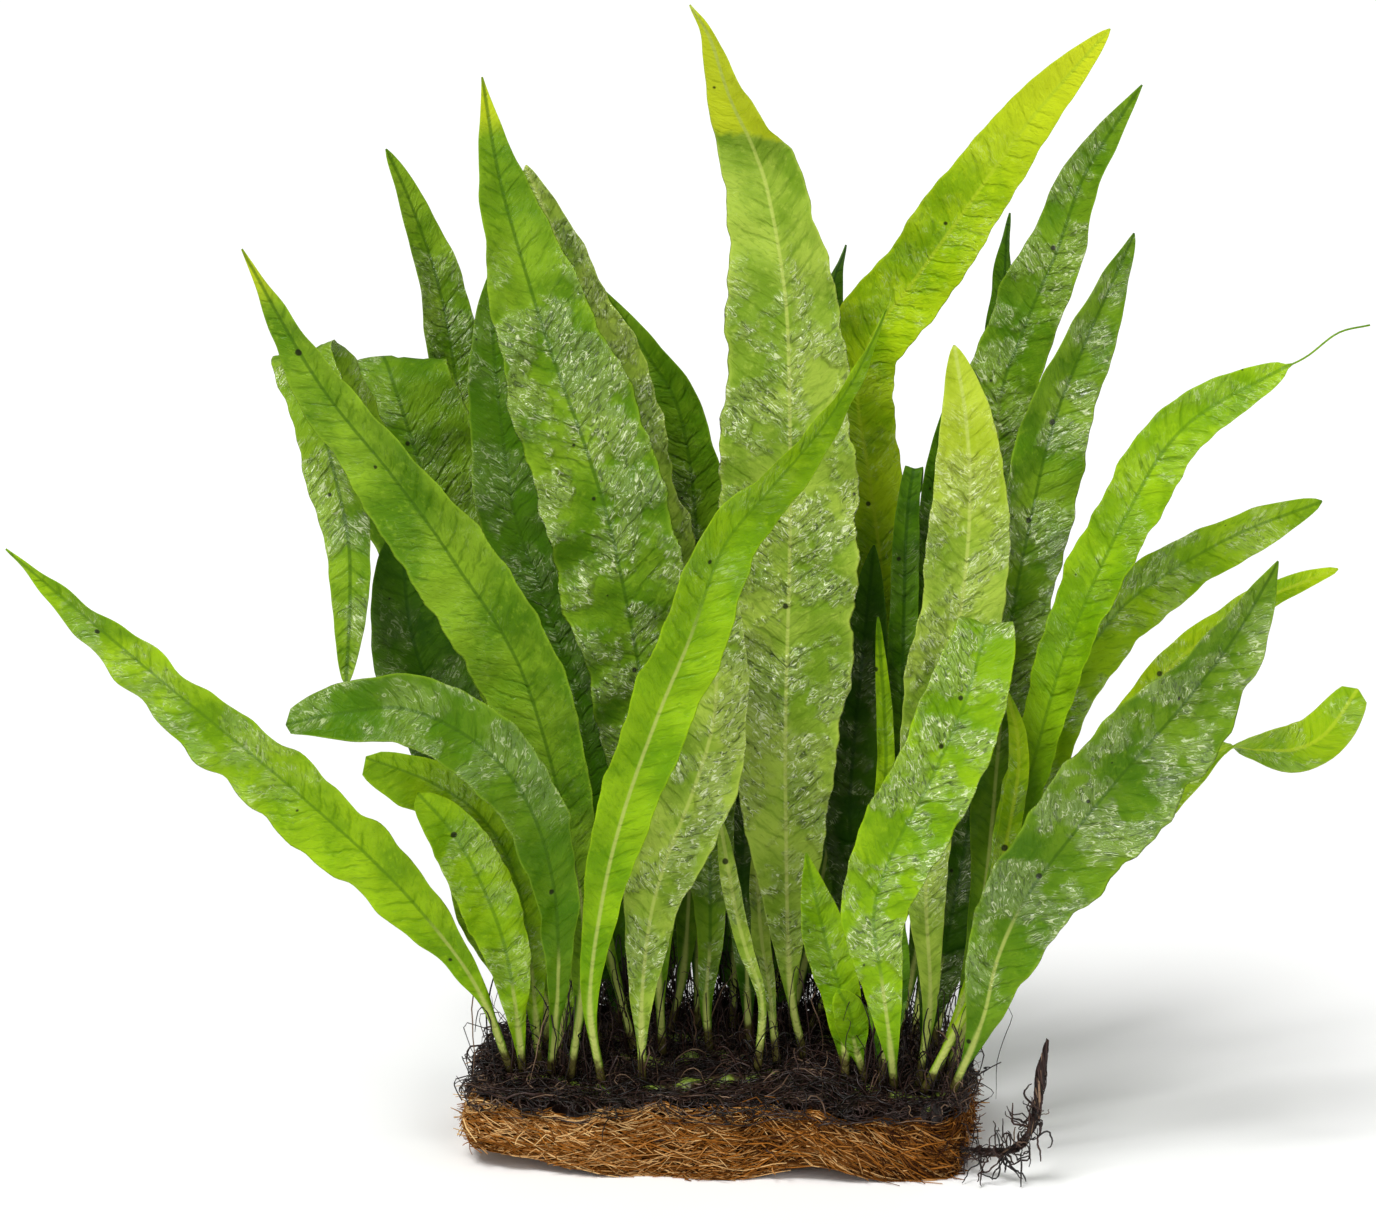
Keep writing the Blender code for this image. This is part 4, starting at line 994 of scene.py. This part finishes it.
@dataclass
class Slab:
    """The mat's outline, shared by the coconut fibres and the roots on it.

    sharpness is how square its corners are, waver and wave how far and how fast its edges waver,
    and the corner lift and the arch are where its underside is off the ground.
    """

    length: float = 120.0
    depth: float = 72.0
    thickness: float = 12.5
    yaw: float = math.radians(-5.0)
    corner: float = 5.0
    sharpness: float = 6.0
    waver: float = 0.9
    wave: float = 0.2
    cells: tuple[int, int] = (120, 72)
    corner_lift: float = 5.0
    arch_lift: float = 4.5
    arch_at: float = 27.0
    arch_wide: float = 13.0

    def outline(self, along: Array, depth: Array, grow: float = 0.0) -> tuple[Array, Array]:
        """Draw a rectangle's points in at its corners, let its edges waver, and turn it by the yaw.

        Args:
            along: Positions along the mat, before the yaw.
            depth: Positions across it.
            grow: How much larger the rectangle is on each side.

        Returns:
            World X and Y.
        """
        end = np.clip(np.abs(2.0 * along / (self.length + 2.0 * grow)), 0.0, 1.0) ** self.sharpness
        side = np.clip(np.abs(2.0 * depth / (self.depth + 2.0 * grow)), 0.0, 1.0) ** self.sharpness
        corner = self.corner * end * side
        out_along = np.abs(along) - corner + self.waver * end * np.sin(self.wave * depth + 1.0)
        out_depth = np.abs(depth) - corner + self.waver * side * np.sin(self.wave * along + 1.0)
        x, y = np.copysign(out_along, along), np.copysign(out_depth, depth)
        return self.turned(x, y)

    def turned(self, along: Array, depth: Array) -> tuple[Array, Array]:
        """Turn places on the mat by its yaw."""
        return (along * math.cos(self.yaw) - depth * math.sin(self.yaw),
                along * math.sin(self.yaw) + depth * math.cos(self.yaw))

    def underside(self, along: Array, depth: Array) -> Array:
        """Return how far the underside is off the ground: a lifted corner and an arch in the front."""
        corner = self.corner_lift * ease((-12.0 - along) / 48.0) * ease((16.0 - depth) / 46.0)
        arch = self.arch_lift * np.exp(-((along - self.arch_at) / self.arch_wide) ** 2)
        arch = arch * ease((-12.0 - depth) / 24.0)
        return corner + arch

    def rim(self, run: Array) -> tuple[Array, Array]:
        """Return places along and across the mat on its rim, run from 0 to 1 from the front left."""
        total = 2.0 * (self.length + self.depth)
        stops = np.array((0.0, self.length, self.length + self.depth, total - self.depth, total)) / total
        along = np.interp(run % 1.0, stops, np.array((-1, 1, 1, -1, -1)) * self.length / 2.0)
        depth = np.interp(run % 1.0, stops, np.array((-1, -1, 1, 1, -1)) * self.depth / 2.0)
        return along, depth

    def grid(self, grow: float) -> tuple[Array, Array]:
        """Return a grid of places along and across the mat, which is larger by grow on each side."""
        u, v = np.meshgrid(*(np.linspace(-0.5, 0.5, count + 1) for count in self.cells))
        return u * (self.length + 2.0 * grow), v * (self.depth + 2.0 * grow)

    def body(self, name: str, grow: float, low: Any, high: Any, material: Material) -> Object:
        """Build a closed slab: two grids joined by a wall.

        Args:
            name: The piece's name.
            grow: How much larger it is than the mat on each side.
            low: The height of its underside, one for all or one for each place of the grid.
            high: The height of its top.
            material: Its finish.

        Returns:
            The new object.
        """
        x, y = self.outline(*self.grid(grow), grow)
        top, bottom = (np.stack(np.broadcast_arrays(x, y, z), axis=-1).reshape(-1, 3) for z in (high, low))
        wide, count = self.cells[0] + 1, len(top)
        place = np.arange(count).reshape(-1, wide)
        cell = place[:-1, :-1].ravel()
        quads = np.stack((cell, cell + 1, cell + 1 + wide, cell + wide), axis=1)
        rim = np.concatenate((place[0], place[1:, -1], place[-1, -2::-1], place[-2:0:-1, 0]))
        after = np.roll(rim, -1)
        wall = np.stack((rim, rim + count, after + count, after), axis=1)[:, ::-1]
        return make_piece(name, np.vstack((top, bottom)), [quads, quads[:, ::-1] + count, wall], material,
                          {"shade": np.full(2 * count, CORE_SHADE)})


@dataclass
class CoirMat:
    """The coconut-fibre mat: a matted core and thousands of loose fibres over it.

    Along the front the fibres climb over the roots to the heights crest_z at the places crest_x,
    and elsewhere to the height rest_z.
    """

    slab: Slab
    side_fibres: int = 3400
    flat_fibres: int = 950
    stray_fibres: int = 130
    knots: int = 7
    inset: float = 0.9
    skin: float = 0.4
    least: float = 0.25
    rest_z: float = 14.2
    crest_x: tuple[float, ...] = (-60.0, -52.0, -38.0, -20.0, 5.0, 24.0, 40.0, 60.0)
    crest_z: tuple[float, ...] = (17.5, 15.0, 14.2, 17.4, 18.4, 17.2, 14.4, 14.0)
    seed: int = 77

    def crest(self, along: Array, depth: Array) -> Array:
        """Return how high the fibres climb over the roots: highest in the middle of the front."""
        front = ease((-depth - 24.0) / 10.0)
        rim = np.interp(along, self.crest_x, self.crest_z)
        return self.rest_z + (rim - self.rest_z) * front + 0.9 * np.sin(0.47 * along + 0.31 * depth)

    def pushed(self, along: Array, depth: Array, out: Array) -> tuple[Array, Array]:
        """Return X and Y of places on the rim, pushed out at right angles and round the corners."""
        past_a = np.maximum(np.abs(along) - (self.slab.length / 2.0 - 6.0), 0.0) + 1e-3
        past_d = np.maximum(np.abs(depth) - (self.slab.depth / 2.0 - 6.0), 0.0) + 1e-3
        size = np.hypot(past_a, past_d)
        push_x, push_y = self.slab.turned(np.sign(along) * past_a / size, np.sign(depth) * past_d / size)
        x, y = self.slab.outline(along, depth)
        return x + out * push_x, y + out * push_y

    def side_paths(self, rng: Rng) -> Array:
        """Lay fibres along the four sides: round the rim, slanted, waving and standing proud.

        At the right of the front they run downwards to the right. Their heights spread from the
        underside to the crest, and they bulge most halfway up.

        Args:
            rng: The source of places, slants and lengths.

        Returns:
            Paths, as strands by points by three.
        """
        size = (self.side_fibres, 1)
        total = 2.0 * (self.slab.length + self.slab.depth)
        step = np.linspace(-0.5, 0.5, self.knots)[None]
        start = rng.uniform(0.0, 1.0, size)
        long = rng.uniform(8.0, 34.0, size)
        slope = rng.normal(0.0, 0.34, size) - 0.45 * (np.abs(start - 0.26) < 0.055)
        wave = rng.normal(0.0, 1.0, size)
        wave = wave * np.sin(step * rng.uniform(3.0, 9.0, size) + rng.uniform(*PHASES, size))
        along, depth = self.slab.rim(start + step * long * np.cos(slope) / total)
        low, high = self.slab.underside(along, depth), self.crest(along, depth)
        share = rng.uniform(0.0, 1.0, size)
        height = low + share * (high - low) + step * long * np.sin(slope) + wave
        height = np.clip(height, low - 0.3, high + rng.exponential(0.5, size))
        ends = np.abs(2.0 * step) ** 3 * rng.exponential(0.9, size)
        belly = np.sin(math.pi * np.clip((height - low + 1.0) / (high - low + 2.0), 0.0, 1.0))
        lumps = 0.8 + 0.5 * np.sin(0.21 * along + 2.0) + 0.3 * np.sin(0.55 * along - 0.3 * depth)
        out = rng.uniform(0.0, 1.4, size) ** 1.5 + ends + 1.5 * lumps * belly - 0.3
        return np.stack((*self.pushed(along, depth, out), np.maximum(height, self.least)), axis=-1)

    def stray_paths(self, rng: Rng) -> Array:
        """Let single fibres stand off the sides at all angles."""
        size = (self.stray_fibres, 1)
        along, depth = self.slab.rim(rng.uniform(0.0, 1.0, size))
        low = self.slab.underside(along, depth)
        step = np.linspace(0.0, 1.0, self.knots)[None]
        away = np.arctan2(2.0 * depth / self.slab.depth, 2.0 * along / self.slab.length)
        away = away + rng.normal(0.0, 0.9, size) + 0.6 * step
        long = rng.uniform(3.0, 9.0, size)
        x, y = self.slab.outline(along, depth)
        x = x + step * long * np.cos(away + self.slab.yaw)
        y = y + step * long * np.sin(away + self.slab.yaw)
        rise = rng.normal(-0.05, 0.3, size) * long * step
        height = low + rng.uniform(0.05, 0.9, size) * (self.slab.thickness - low) + rise
        return np.stack((x, y, np.maximum(height, self.least)), axis=-1)

    def flat_paths(self, rng: Rng, under: bool) -> Array:
        """Lay fibres flat on the underside or the top, curving a little."""
        size = (self.flat_fibres, 1)
        half_along, half_depth = self.slab.length / 2.0, self.slab.depth / 2.0
        step = np.linspace(-0.5, 0.5, self.knots)[None]
        long = rng.uniform(14.0, 40.0, size)
        heading = rng.normal(0.0, 0.9, size) + rng.normal(0.0, 0.7, size) * step * 2.0
        along = rng.uniform(-0.5, 0.5, size) * self.slab.length + step * long * np.cos(heading)
        depth = rng.uniform(-0.5, 0.5, size) * self.slab.depth + step * long * np.sin(heading)
        along, depth = np.clip(along, -half_along, half_along), np.clip(depth, -half_depth, half_depth)
        ripple = rng.uniform(0.0, 0.7, size)
        ripple = ripple * np.abs(np.sin(3.0 * step + rng.uniform(*PHASES, size)))
        level = self.slab.underside(along, depth) + self.least if under else self.slab.thickness - 0.2
        return np.stack((*self.slab.outline(along, depth), level + 0.6 * ripple), axis=-1)

    def dress(self) -> None:
        """Build the core and the fibres in place of the mat's solid."""
        rng = np.random.default_rng(self.seed)
        material = COIR.material()
        low = self.slab.underside(*self.slab.grid(-self.inset)) + 0.35
        core = self.slab.body("coir_core", -self.inset, low, self.slab.thickness - self.skin, material)
        report_piece(core, ["coir_mat"])
        sides = np.vstack((self.side_paths(rng), self.stray_paths(rng)))
        flat = np.vstack((self.flat_paths(rng, True), self.flat_paths(rng, False)))
        for name, paths in (("coir_fibres_sides", sides), ("coir_fibres_flat", flat)):
            count = len(paths)
            shade = np.clip(rng.beta(1.3, 1.5, count) - 0.0025 * paths[:, 0, 0], 0.0, 1.0)
            piece = strand_piece(name, paths, rng.uniform(0.14, 0.30, count), shade, material)
            report_piece(piece)


@dataclass
class RootTangle:
    """The tangle of wet root hairs over the mat: a dark core, loops on top and strands over the rim.

    top is the height of its surface, which rises to a hump in front and a ridge behind, and hang
    is how far the strands fall past the rim.
    """

    slab: Slab
    top: float = 18.8
    overhang: float = 1.2
    loops: int = 1900
    fringe: int = 1500
    risers: int = 2100
    strays: int = 90
    knots: int = 11
    hang: float = 4.2
    hump: tuple[float, float] = (21.0, -24.0)
    hump_wide: float = 8.0
    hump_rise: float = 5.0
    ridge_y: float = 36.5
    ridge_wide: float = 6.0
    ridge_rise: float = 9.5
    inset: float = 1.0
    roughness: float = 0.35
    seed: int = 311
    rough_seed: int = 5

    def height(self, x: Array, y: Array) -> Array:
        """Return the height of the lumpy top: crossed waves, a hump in front and a ridge behind."""
        lumps = np.sin(0.31 * x) * np.sin(0.37 * y) + 0.5 * np.sin(0.17 * x - 0.29 * y) - 0.5
        away = np.hypot(x - self.hump[0], y - self.hump[1]) / self.hump_wide
        behind = (y - self.ridge_y - math.tan(self.slab.yaw) * x) / self.ridge_wide
        crest = (0.8 + 0.2 * np.sin(0.23 * x)) * ease((54.0 - np.abs(x)) / 14.0)
        hump, ridge = self.hump_rise * np.exp(-away ** 2), self.ridge_rise * crest * np.exp(-behind ** 2)
        return self.top + 0.66 * lumps + hump + ridge

    def draped(self, along: Array, depth: Array, above: Array) -> Array:
        """Lay points on the tangle's top, and let those past its rim hang down the mat's side.

        Args:
            along: Positions along the mat, also past its ends.
            depth: Positions across it, also past its sides.
            above: How far each point is off the surface.

        Returns:
            The points in space.
        """
        reach_a = self.slab.length / 2.0 + self.overhang
        reach_d = self.slab.depth / 2.0 + self.overhang
        past_a = np.clip(np.abs(along) - reach_a, 0.0, None)
        past_d = np.clip(np.abs(depth) - reach_d, 0.0, None)
        past = np.hypot(past_a, past_d)
        out = 1.6 * (1.0 - np.exp(-past / 2.0)) + 0.6 * above * (past > 0.0)
        held_a = np.clip(along, -reach_a, reach_a) + np.sign(along) * out * (past_a > 0.0)
        held_d = np.clip(depth, -reach_d, reach_d) + np.sign(depth) * out * (past_d > 0.0)
        x, y = self.slab.outline(held_a, held_d, self.overhang)
        fallen = self.hang * (1.0 - np.exp(-past / self.hang))
        return np.stack((x, y, self.height(x, y) + above - fallen), axis=-1)

    def wander(self, rng: Rng, count: int, long: tuple[float, float], curl: float) -> tuple[Array, Array]:
        """Return flat wandering paths about the origin: a heading that drifts at random."""
        turn = np.cumsum(rng.normal(0.0, curl, (count, self.knots)), axis=1)
        heading = rng.uniform(0.0, 2.0 * math.pi, (count, 1)) + turn
        step = rng.uniform(*long, (count, 1)) / self.knots
        return np.cumsum(step * np.cos(heading), axis=1), np.cumsum(step * np.sin(heading), axis=1)

    def loop_paths(self, rng: Rng) -> Array:
        """Return curly hairs all over the top, some arching up."""
        da, dd = self.wander(rng, self.loops, (10.0, 36.0), 0.75)
        along = rng.uniform(-0.5, 0.5, (self.loops, 1)) * self.slab.length + da
        depth = rng.uniform(-0.5, 0.5, (self.loops, 1)) * self.slab.depth + dd
        step = np.linspace(0.0, 1.0, self.knots)[None]
        arch = rng.exponential(1.3, (self.loops, 1)) * np.sin(math.pi * step) ** 2
        above = rng.uniform(-0.3, 1.0, (self.loops, 1)) + np.minimum(arch, 7.0)
        return self.draped(along, depth, above)

    def fringe_paths(self, rng: Rng) -> Array:
        """Return curly hairs along the rim, in tufts that hang over it here and there."""
        run = rng.uniform(0.0, 1.0, (self.fringe, 1))
        along, depth = self.slab.rim(run)
        da, dd = self.wander(rng, self.fringe, (8.0, 24.0), 0.8)
        tuft = 0.955 + 0.05 * np.sin(run * 97.0) * np.sin(run * 41.0 + 1.0)
        above = rng.uniform(0.0, 1.8, (self.fringe, 1))
        return self.draped(along * tuft + 0.6 * da, depth * (tuft - 0.03) + 0.6 * dd, above)

    def riser_paths(self, rng: Rng) -> Array:
        """Return thin dark hairs that climb among the stalks."""
        feet = np.array([leaf.foot for leaf in LEAVES])
        spread = rng.choice((1.6, 5.0), (self.risers, 1))
        start = feet[rng.integers(0, len(feet), self.risers)]
        start = start + spread * rng.normal(0.0, 1.0, (self.risers, 2))
        behind = self.risers // 4
        start[:behind, 0] = rng.uniform(-48.0, 48.0, behind)
        start[:behind, 1] = 34.0 + math.tan(self.slab.yaw) * start[:behind, 0]
        start[:behind, 1] += rng.normal(0.0, 2.2, behind)
        da, dd = self.wander(rng, self.risers, (4.0, 14.0), 0.9)
        step = np.linspace(0.0, 1.0, self.knots)[None]
        tall = rng.exponential(7.5, (self.risers, 1)).clip(2.0, 30.0)
        tall[:behind] += 4.5
        x, y = start[:, :1] + da, start[:, 1:] + dd
        z = self.height(x, y) - 0.5 + tall * np.sin(step * rng.uniform(1.2, 2.8, (self.risers, 1)))
        return np.stack((x, y, z), axis=-1)

    def stray_paths(self, rng: Rng) -> Array:
        """Return hairs that leave the ends and sides of the mat and curl in the air."""
        along, depth = self.slab.rim(rng.uniform(0.0, 1.0, (self.strays, 1)))
        x, y = self.slab.outline(along, depth)
        paths = drifting(rng, np.arctan2(y, x), 0.45, (-0.3, 0.9), (-0.05, 0.3), (5.0, 15.0), self.knots)
        paths = paths + np.stack((x * 0.97, y * 0.97, rng.uniform(9.0, 18.0, x.shape)), axis=-1)
        paths[..., 2] = np.maximum(paths[..., 2], GROUND)
        return paths

    def dress(self) -> None:
        """Build the core and the hairs in place of the tangle's solid."""
        rng = np.random.default_rng(self.seed)
        material = ROOT.material()
        x, y = self.slab.turned(*self.slab.grid(-self.inset))
        rough = np.random.default_rng(self.rough_seed).normal(0.0, self.roughness, x.shape)
        high = self.height(x, y) - 0.9 + rough
        core = self.slab.body("root_core", -self.inset, self.slab.thickness + 0.3, high, material)
        report_piece(core, ["root_tangle"])
        rim = np.vstack((self.fringe_paths(rng), self.stray_paths(rng)))
        groups = (("root_hairs_top", self.loop_paths(rng)), ("root_hairs_rim", rim),
                  ("root_hairs_rising", self.riser_paths(rng)))
        for name, paths in groups:
            shade = rng.beta(1.2, 3.0, len(paths))
            thick = 0.10 + 0.24 * rng.beta(1.5, 3.0, len(paths))
            report_piece(strand_piece(name, paths, thick, shade, material))


@dataclass
class SideRoots:
    """The loose bunch of roots that stands up beside the mat's right end."""

    route: tuple[Point, ...] = ((58.7, -32.6, 6.0), (66.0, -37.5, 7.0), (73.0, -43.0, 10.0),
                                (77.0, -44.0, 17.0), (78.5, -44.0, 28.0), (80.0, -44.0, 38.0))
    strands: int = 110
    branches: int = 90
    knots: int = 14
    seed: int = 9

    def twisted(self, rng: Rng, route: Array) -> Array:
        """Return hairs that follow the route in a loose twist, thickest halfway up.

        Args:
            rng: The source of places and waves.
            route: Points along the bunch.

        Returns:
            Paths, as strands by points by three.
        """
        start = rng.uniform(0.0, 0.8, (self.strands, 1))
        stop = np.minimum(start + rng.uniform(0.15, 0.5, (self.strands, 1)), 1.0)
        run = start + (stop - start) * np.linspace(0.0, 1.0, self.knots)[None]
        shares = np.linspace(0.0, 1.0, len(route))
        middle = np.stack([np.interp(run, shares, route[:, axis]) for axis in range(3)], axis=-1)
        spread = np.interp(run, (0.0, 0.3, 0.55, 0.8, 1.0), (1.3, 0.8, 0.8, 1.3, 0.3))[..., None]
        phase = rng.uniform(*PHASES, (self.strands, 1, 1)) + np.array((0.0, 1.6, 3.1))
        twist = np.sin(run[..., None] * rng.uniform(10.0, 40.0, (self.strands, 1, 1)) + phase)
        return middle + spread * twist * rng.uniform(0.3, 1.2, (self.strands, 1, 3))

    def branching(self, rng: Rng, route: Array) -> Array:
        """Return curly roots that leave the lower part of the route on all sides."""
        first = route[rng.integers(0, round(0.62 * len(route)), self.branches)]
        heading = rng.uniform(*PHASES, (self.branches, 1))
        return first[:, None] + drifting(rng, heading, 0.5, (-0.9, 1.2), (0.0, 0.35), (4.0, 13.0), self.knots)

    def dress(self) -> None:
        """Build the bunch in place of its solid."""
        rng = np.random.default_rng(self.seed)
        route = smooth_route(np.array(self.route), 60)
        paths = np.vstack((self.twisted(rng, route), self.branching(rng, route)))
        paths[..., 2] = np.maximum(paths[..., 2], GROUND)
        shade = rng.beta(1.2, 2.6, len(paths))
        thick = 0.14 + 0.26 * rng.beta(1.5, 2.5, len(paths))
        piece = strand_piece("side_root_hairs", paths, thick, shade, ROOT.material())
        report_piece(piece, ["side_roots"])


@dataclass(frozen=True)
class RhizomeFinish:
    """Fern rhizome: a green stem under brown papery scales."""

    name: str = "scaly_fern_rhizome"
    light: str = "#8FA03A"
    green: str = "#4C6418"
    brown: str = "#33230F"
    scale_height: float = 0.5

    def material(self) -> Material:
        """Build the material: cells of 1.5 mm are scales, and green shows between brown patches."""
        material, tree, shader = new_material(self.name)
        where = add_node(tree, "ShaderNodeTexCoord").outputs["Object"]
        scales = add_node(tree, "ShaderNodeTexVoronoi", {"Vector": where, "Scale": 650.0}).outputs["Distance"]
        green = blend(tree, scales, self.light, self.green)
        colour = blend(tree, remap(tree, noise(tree, where, 190.0, 4.0), 0.45, 0.6), green, self.brown)
        set_inputs(tree, shader, {"Base Color": colour, "Roughness": 0.5,
                                  "Normal": bump(tree, scales, self.scale_height, 0.8)})
        return material


@dataclass
class Rhizomes:
    """The creeping stems that carry the leaves."""

    radius: float = 2.7
    axis: float = 17.4
    sides: int = 14
    rings: int = 90
    seed: int = 20
    routes: dict[str, tuple[tuple[float, float], ...]] = field(default_factory=lambda: {
        "rhizome_left": ((-57, -10), (-50, -13), (-42, -15), (-34, -22), (-27, -25)),
        "rhizome_front": ((-21, -21), (-12, -22), (-2, -15), (8, -13), (17, -4), (24, 1)),
        "rhizome_right": ((29, -19), (36, -22), (45, -31), (53, -31), (56, -20), (57, -10)),
        "rhizome_middle": ((-49, 2), (-40, 5), (-30, 7), (-18, 1), (-8, 5), (4, 8), (11, 12)),
        "rhizome_back": ((-44, 25), (-30, 24), (-14, 22), (2, 25), (17, 26), (32, 20), (44, 12), (55, 6)),
    })

    def build(self, name: str, keys: tuple[tuple[float, float], ...], seed: int,
              material: Material) -> Object:
        """Sweep a knobby ring along one stem's route.

        The radius is a steady one, swollen by waves along and round the stem, and closing to a
        blunt point at each end.

        Args:
            name: The piece's name.
            keys: The route on the mat.
            seed: Picks the knobs.
            material: The stem's finish.

        Returns:
            The new object.
        """
        rng = np.random.default_rng(seed)
        flat = smooth_route(np.array(keys, dtype=float), self.rings)
        run = run_along(flat)
        middle = np.column_stack((flat, self.axis + 0.5 * waves(run, (19.0, 11.0), rng)))
        blunt = np.sqrt(np.clip(1.0 - np.abs(2.0 * run / run[-1] - 1.0) ** 12, 0.02, 1.0))
        turn = np.arange(self.sides) * 2.0 * math.pi / self.sides
        knobs = waves(run, (6.0, 4.1, 9.0), rng)[:, None] * (1.0 + 0.5 * np.sin(turn + run[:, None] / 3.0))
        size = self.radius * blunt[:, None] * (1.0 + 0.13 * knobs)
        points, faces = sweep(middle[None], size[None], self.sides)
        return make_piece(name, points, faces, material)

    def dress(self) -> None:
        """Build every stem in place of its solid."""
        material = RhizomeFinish().material()
        for seed, (node, keys) in enumerate(self.routes.items(), start=self.seed):
            report_piece(self.build(node + "_stem", keys, seed, material), [node])


@dataclass(frozen=True)
class Lamp:
    """A large far lamp: its azimuth to the right of the camera, its elevation and its width in
    degrees as seen from the plant, and its strength.
    """

    name: str
    azimuth: float
    elevation: float
    width: float
    strength: float

    def hang(self) -> None:
        """Add the lamp to the scene."""
        sun = bpy.data.lights.new(self.name, "SUN")
        sun.energy = self.strength
        sun.angle = math.radians(self.width)
        item = bpy.data.objects.new(self.name, sun)
        item.rotation_euler = (math.pi / 2.0 - math.radians(self.elevation), 0.0, math.radians(self.azimuth))
        bpy.context.scene.collection.objects.link(item)


@dataclass
class Studio:
    """A pale floor under soft studio lights."""

    floor_half: float = 9000.0
    floor_colour: str = "#FCFCFB"
    world_colour: str = "#FFFFFF"
    world_strength: float = 0.26
    lamps: tuple[Lamp, ...] = (
        Lamp("key", -32.0, 58.0, 24.0, 2.75), Lamp("right", 26.0, 26.0, 18.0, 0.6),
        Lamp("low", -16.0, 18.0, 15.0, 0.45), Lamp("rim", 150.0, 50.0, 20.0, 0.25))

    def floor(self) -> None:
        """Lay the matt pale floor."""
        material, tree, shader = new_material("matt_white_paper")
        set_inputs(tree, shader, {"Base Color": linear(self.floor_colour), "Roughness": 0.9})
        half = self.floor_half
        corners = np.array(((-half, -half, 0.0), (half, -half, 0.0), (half, half, 0.0), (-half, half, 0.0)))
        make_piece("floor", corners, [np.arange(4)[None]], material)

    def light_up(self) -> None:
        """Light the world, and hang the lamps."""
        world = bpy.data.worlds.new("studio")
        bpy.context.scene.world = world
        world.use_nodes = True
        set_inputs(world.node_tree, world.node_tree.nodes["Background"],
                   {"Color": linear(self.world_colour), "Strength": self.world_strength})
        for lamp in self.lamps:
            lamp.hang()

    def build(self) -> None:
        """Set the stage."""
        self.floor()
        self.light_up()
        bpy.context.scene.view_settings.view_transform = "Standard"


def main() -> None:
    """Dress the whole plant, and log the faces of each piece."""
    logging.basicConfig(level=logging.INFO, format="%(message)s")
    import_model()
    Eye().place_camera()
    Studio().build()
    Foliage().dress()
    slab = Slab()
    CoirMat(slab).dress()
    RootTangle(slab).dress()
    SideRoots().dress()
    Rhizomes().dress()


if __name__ == "__main__":
    main()
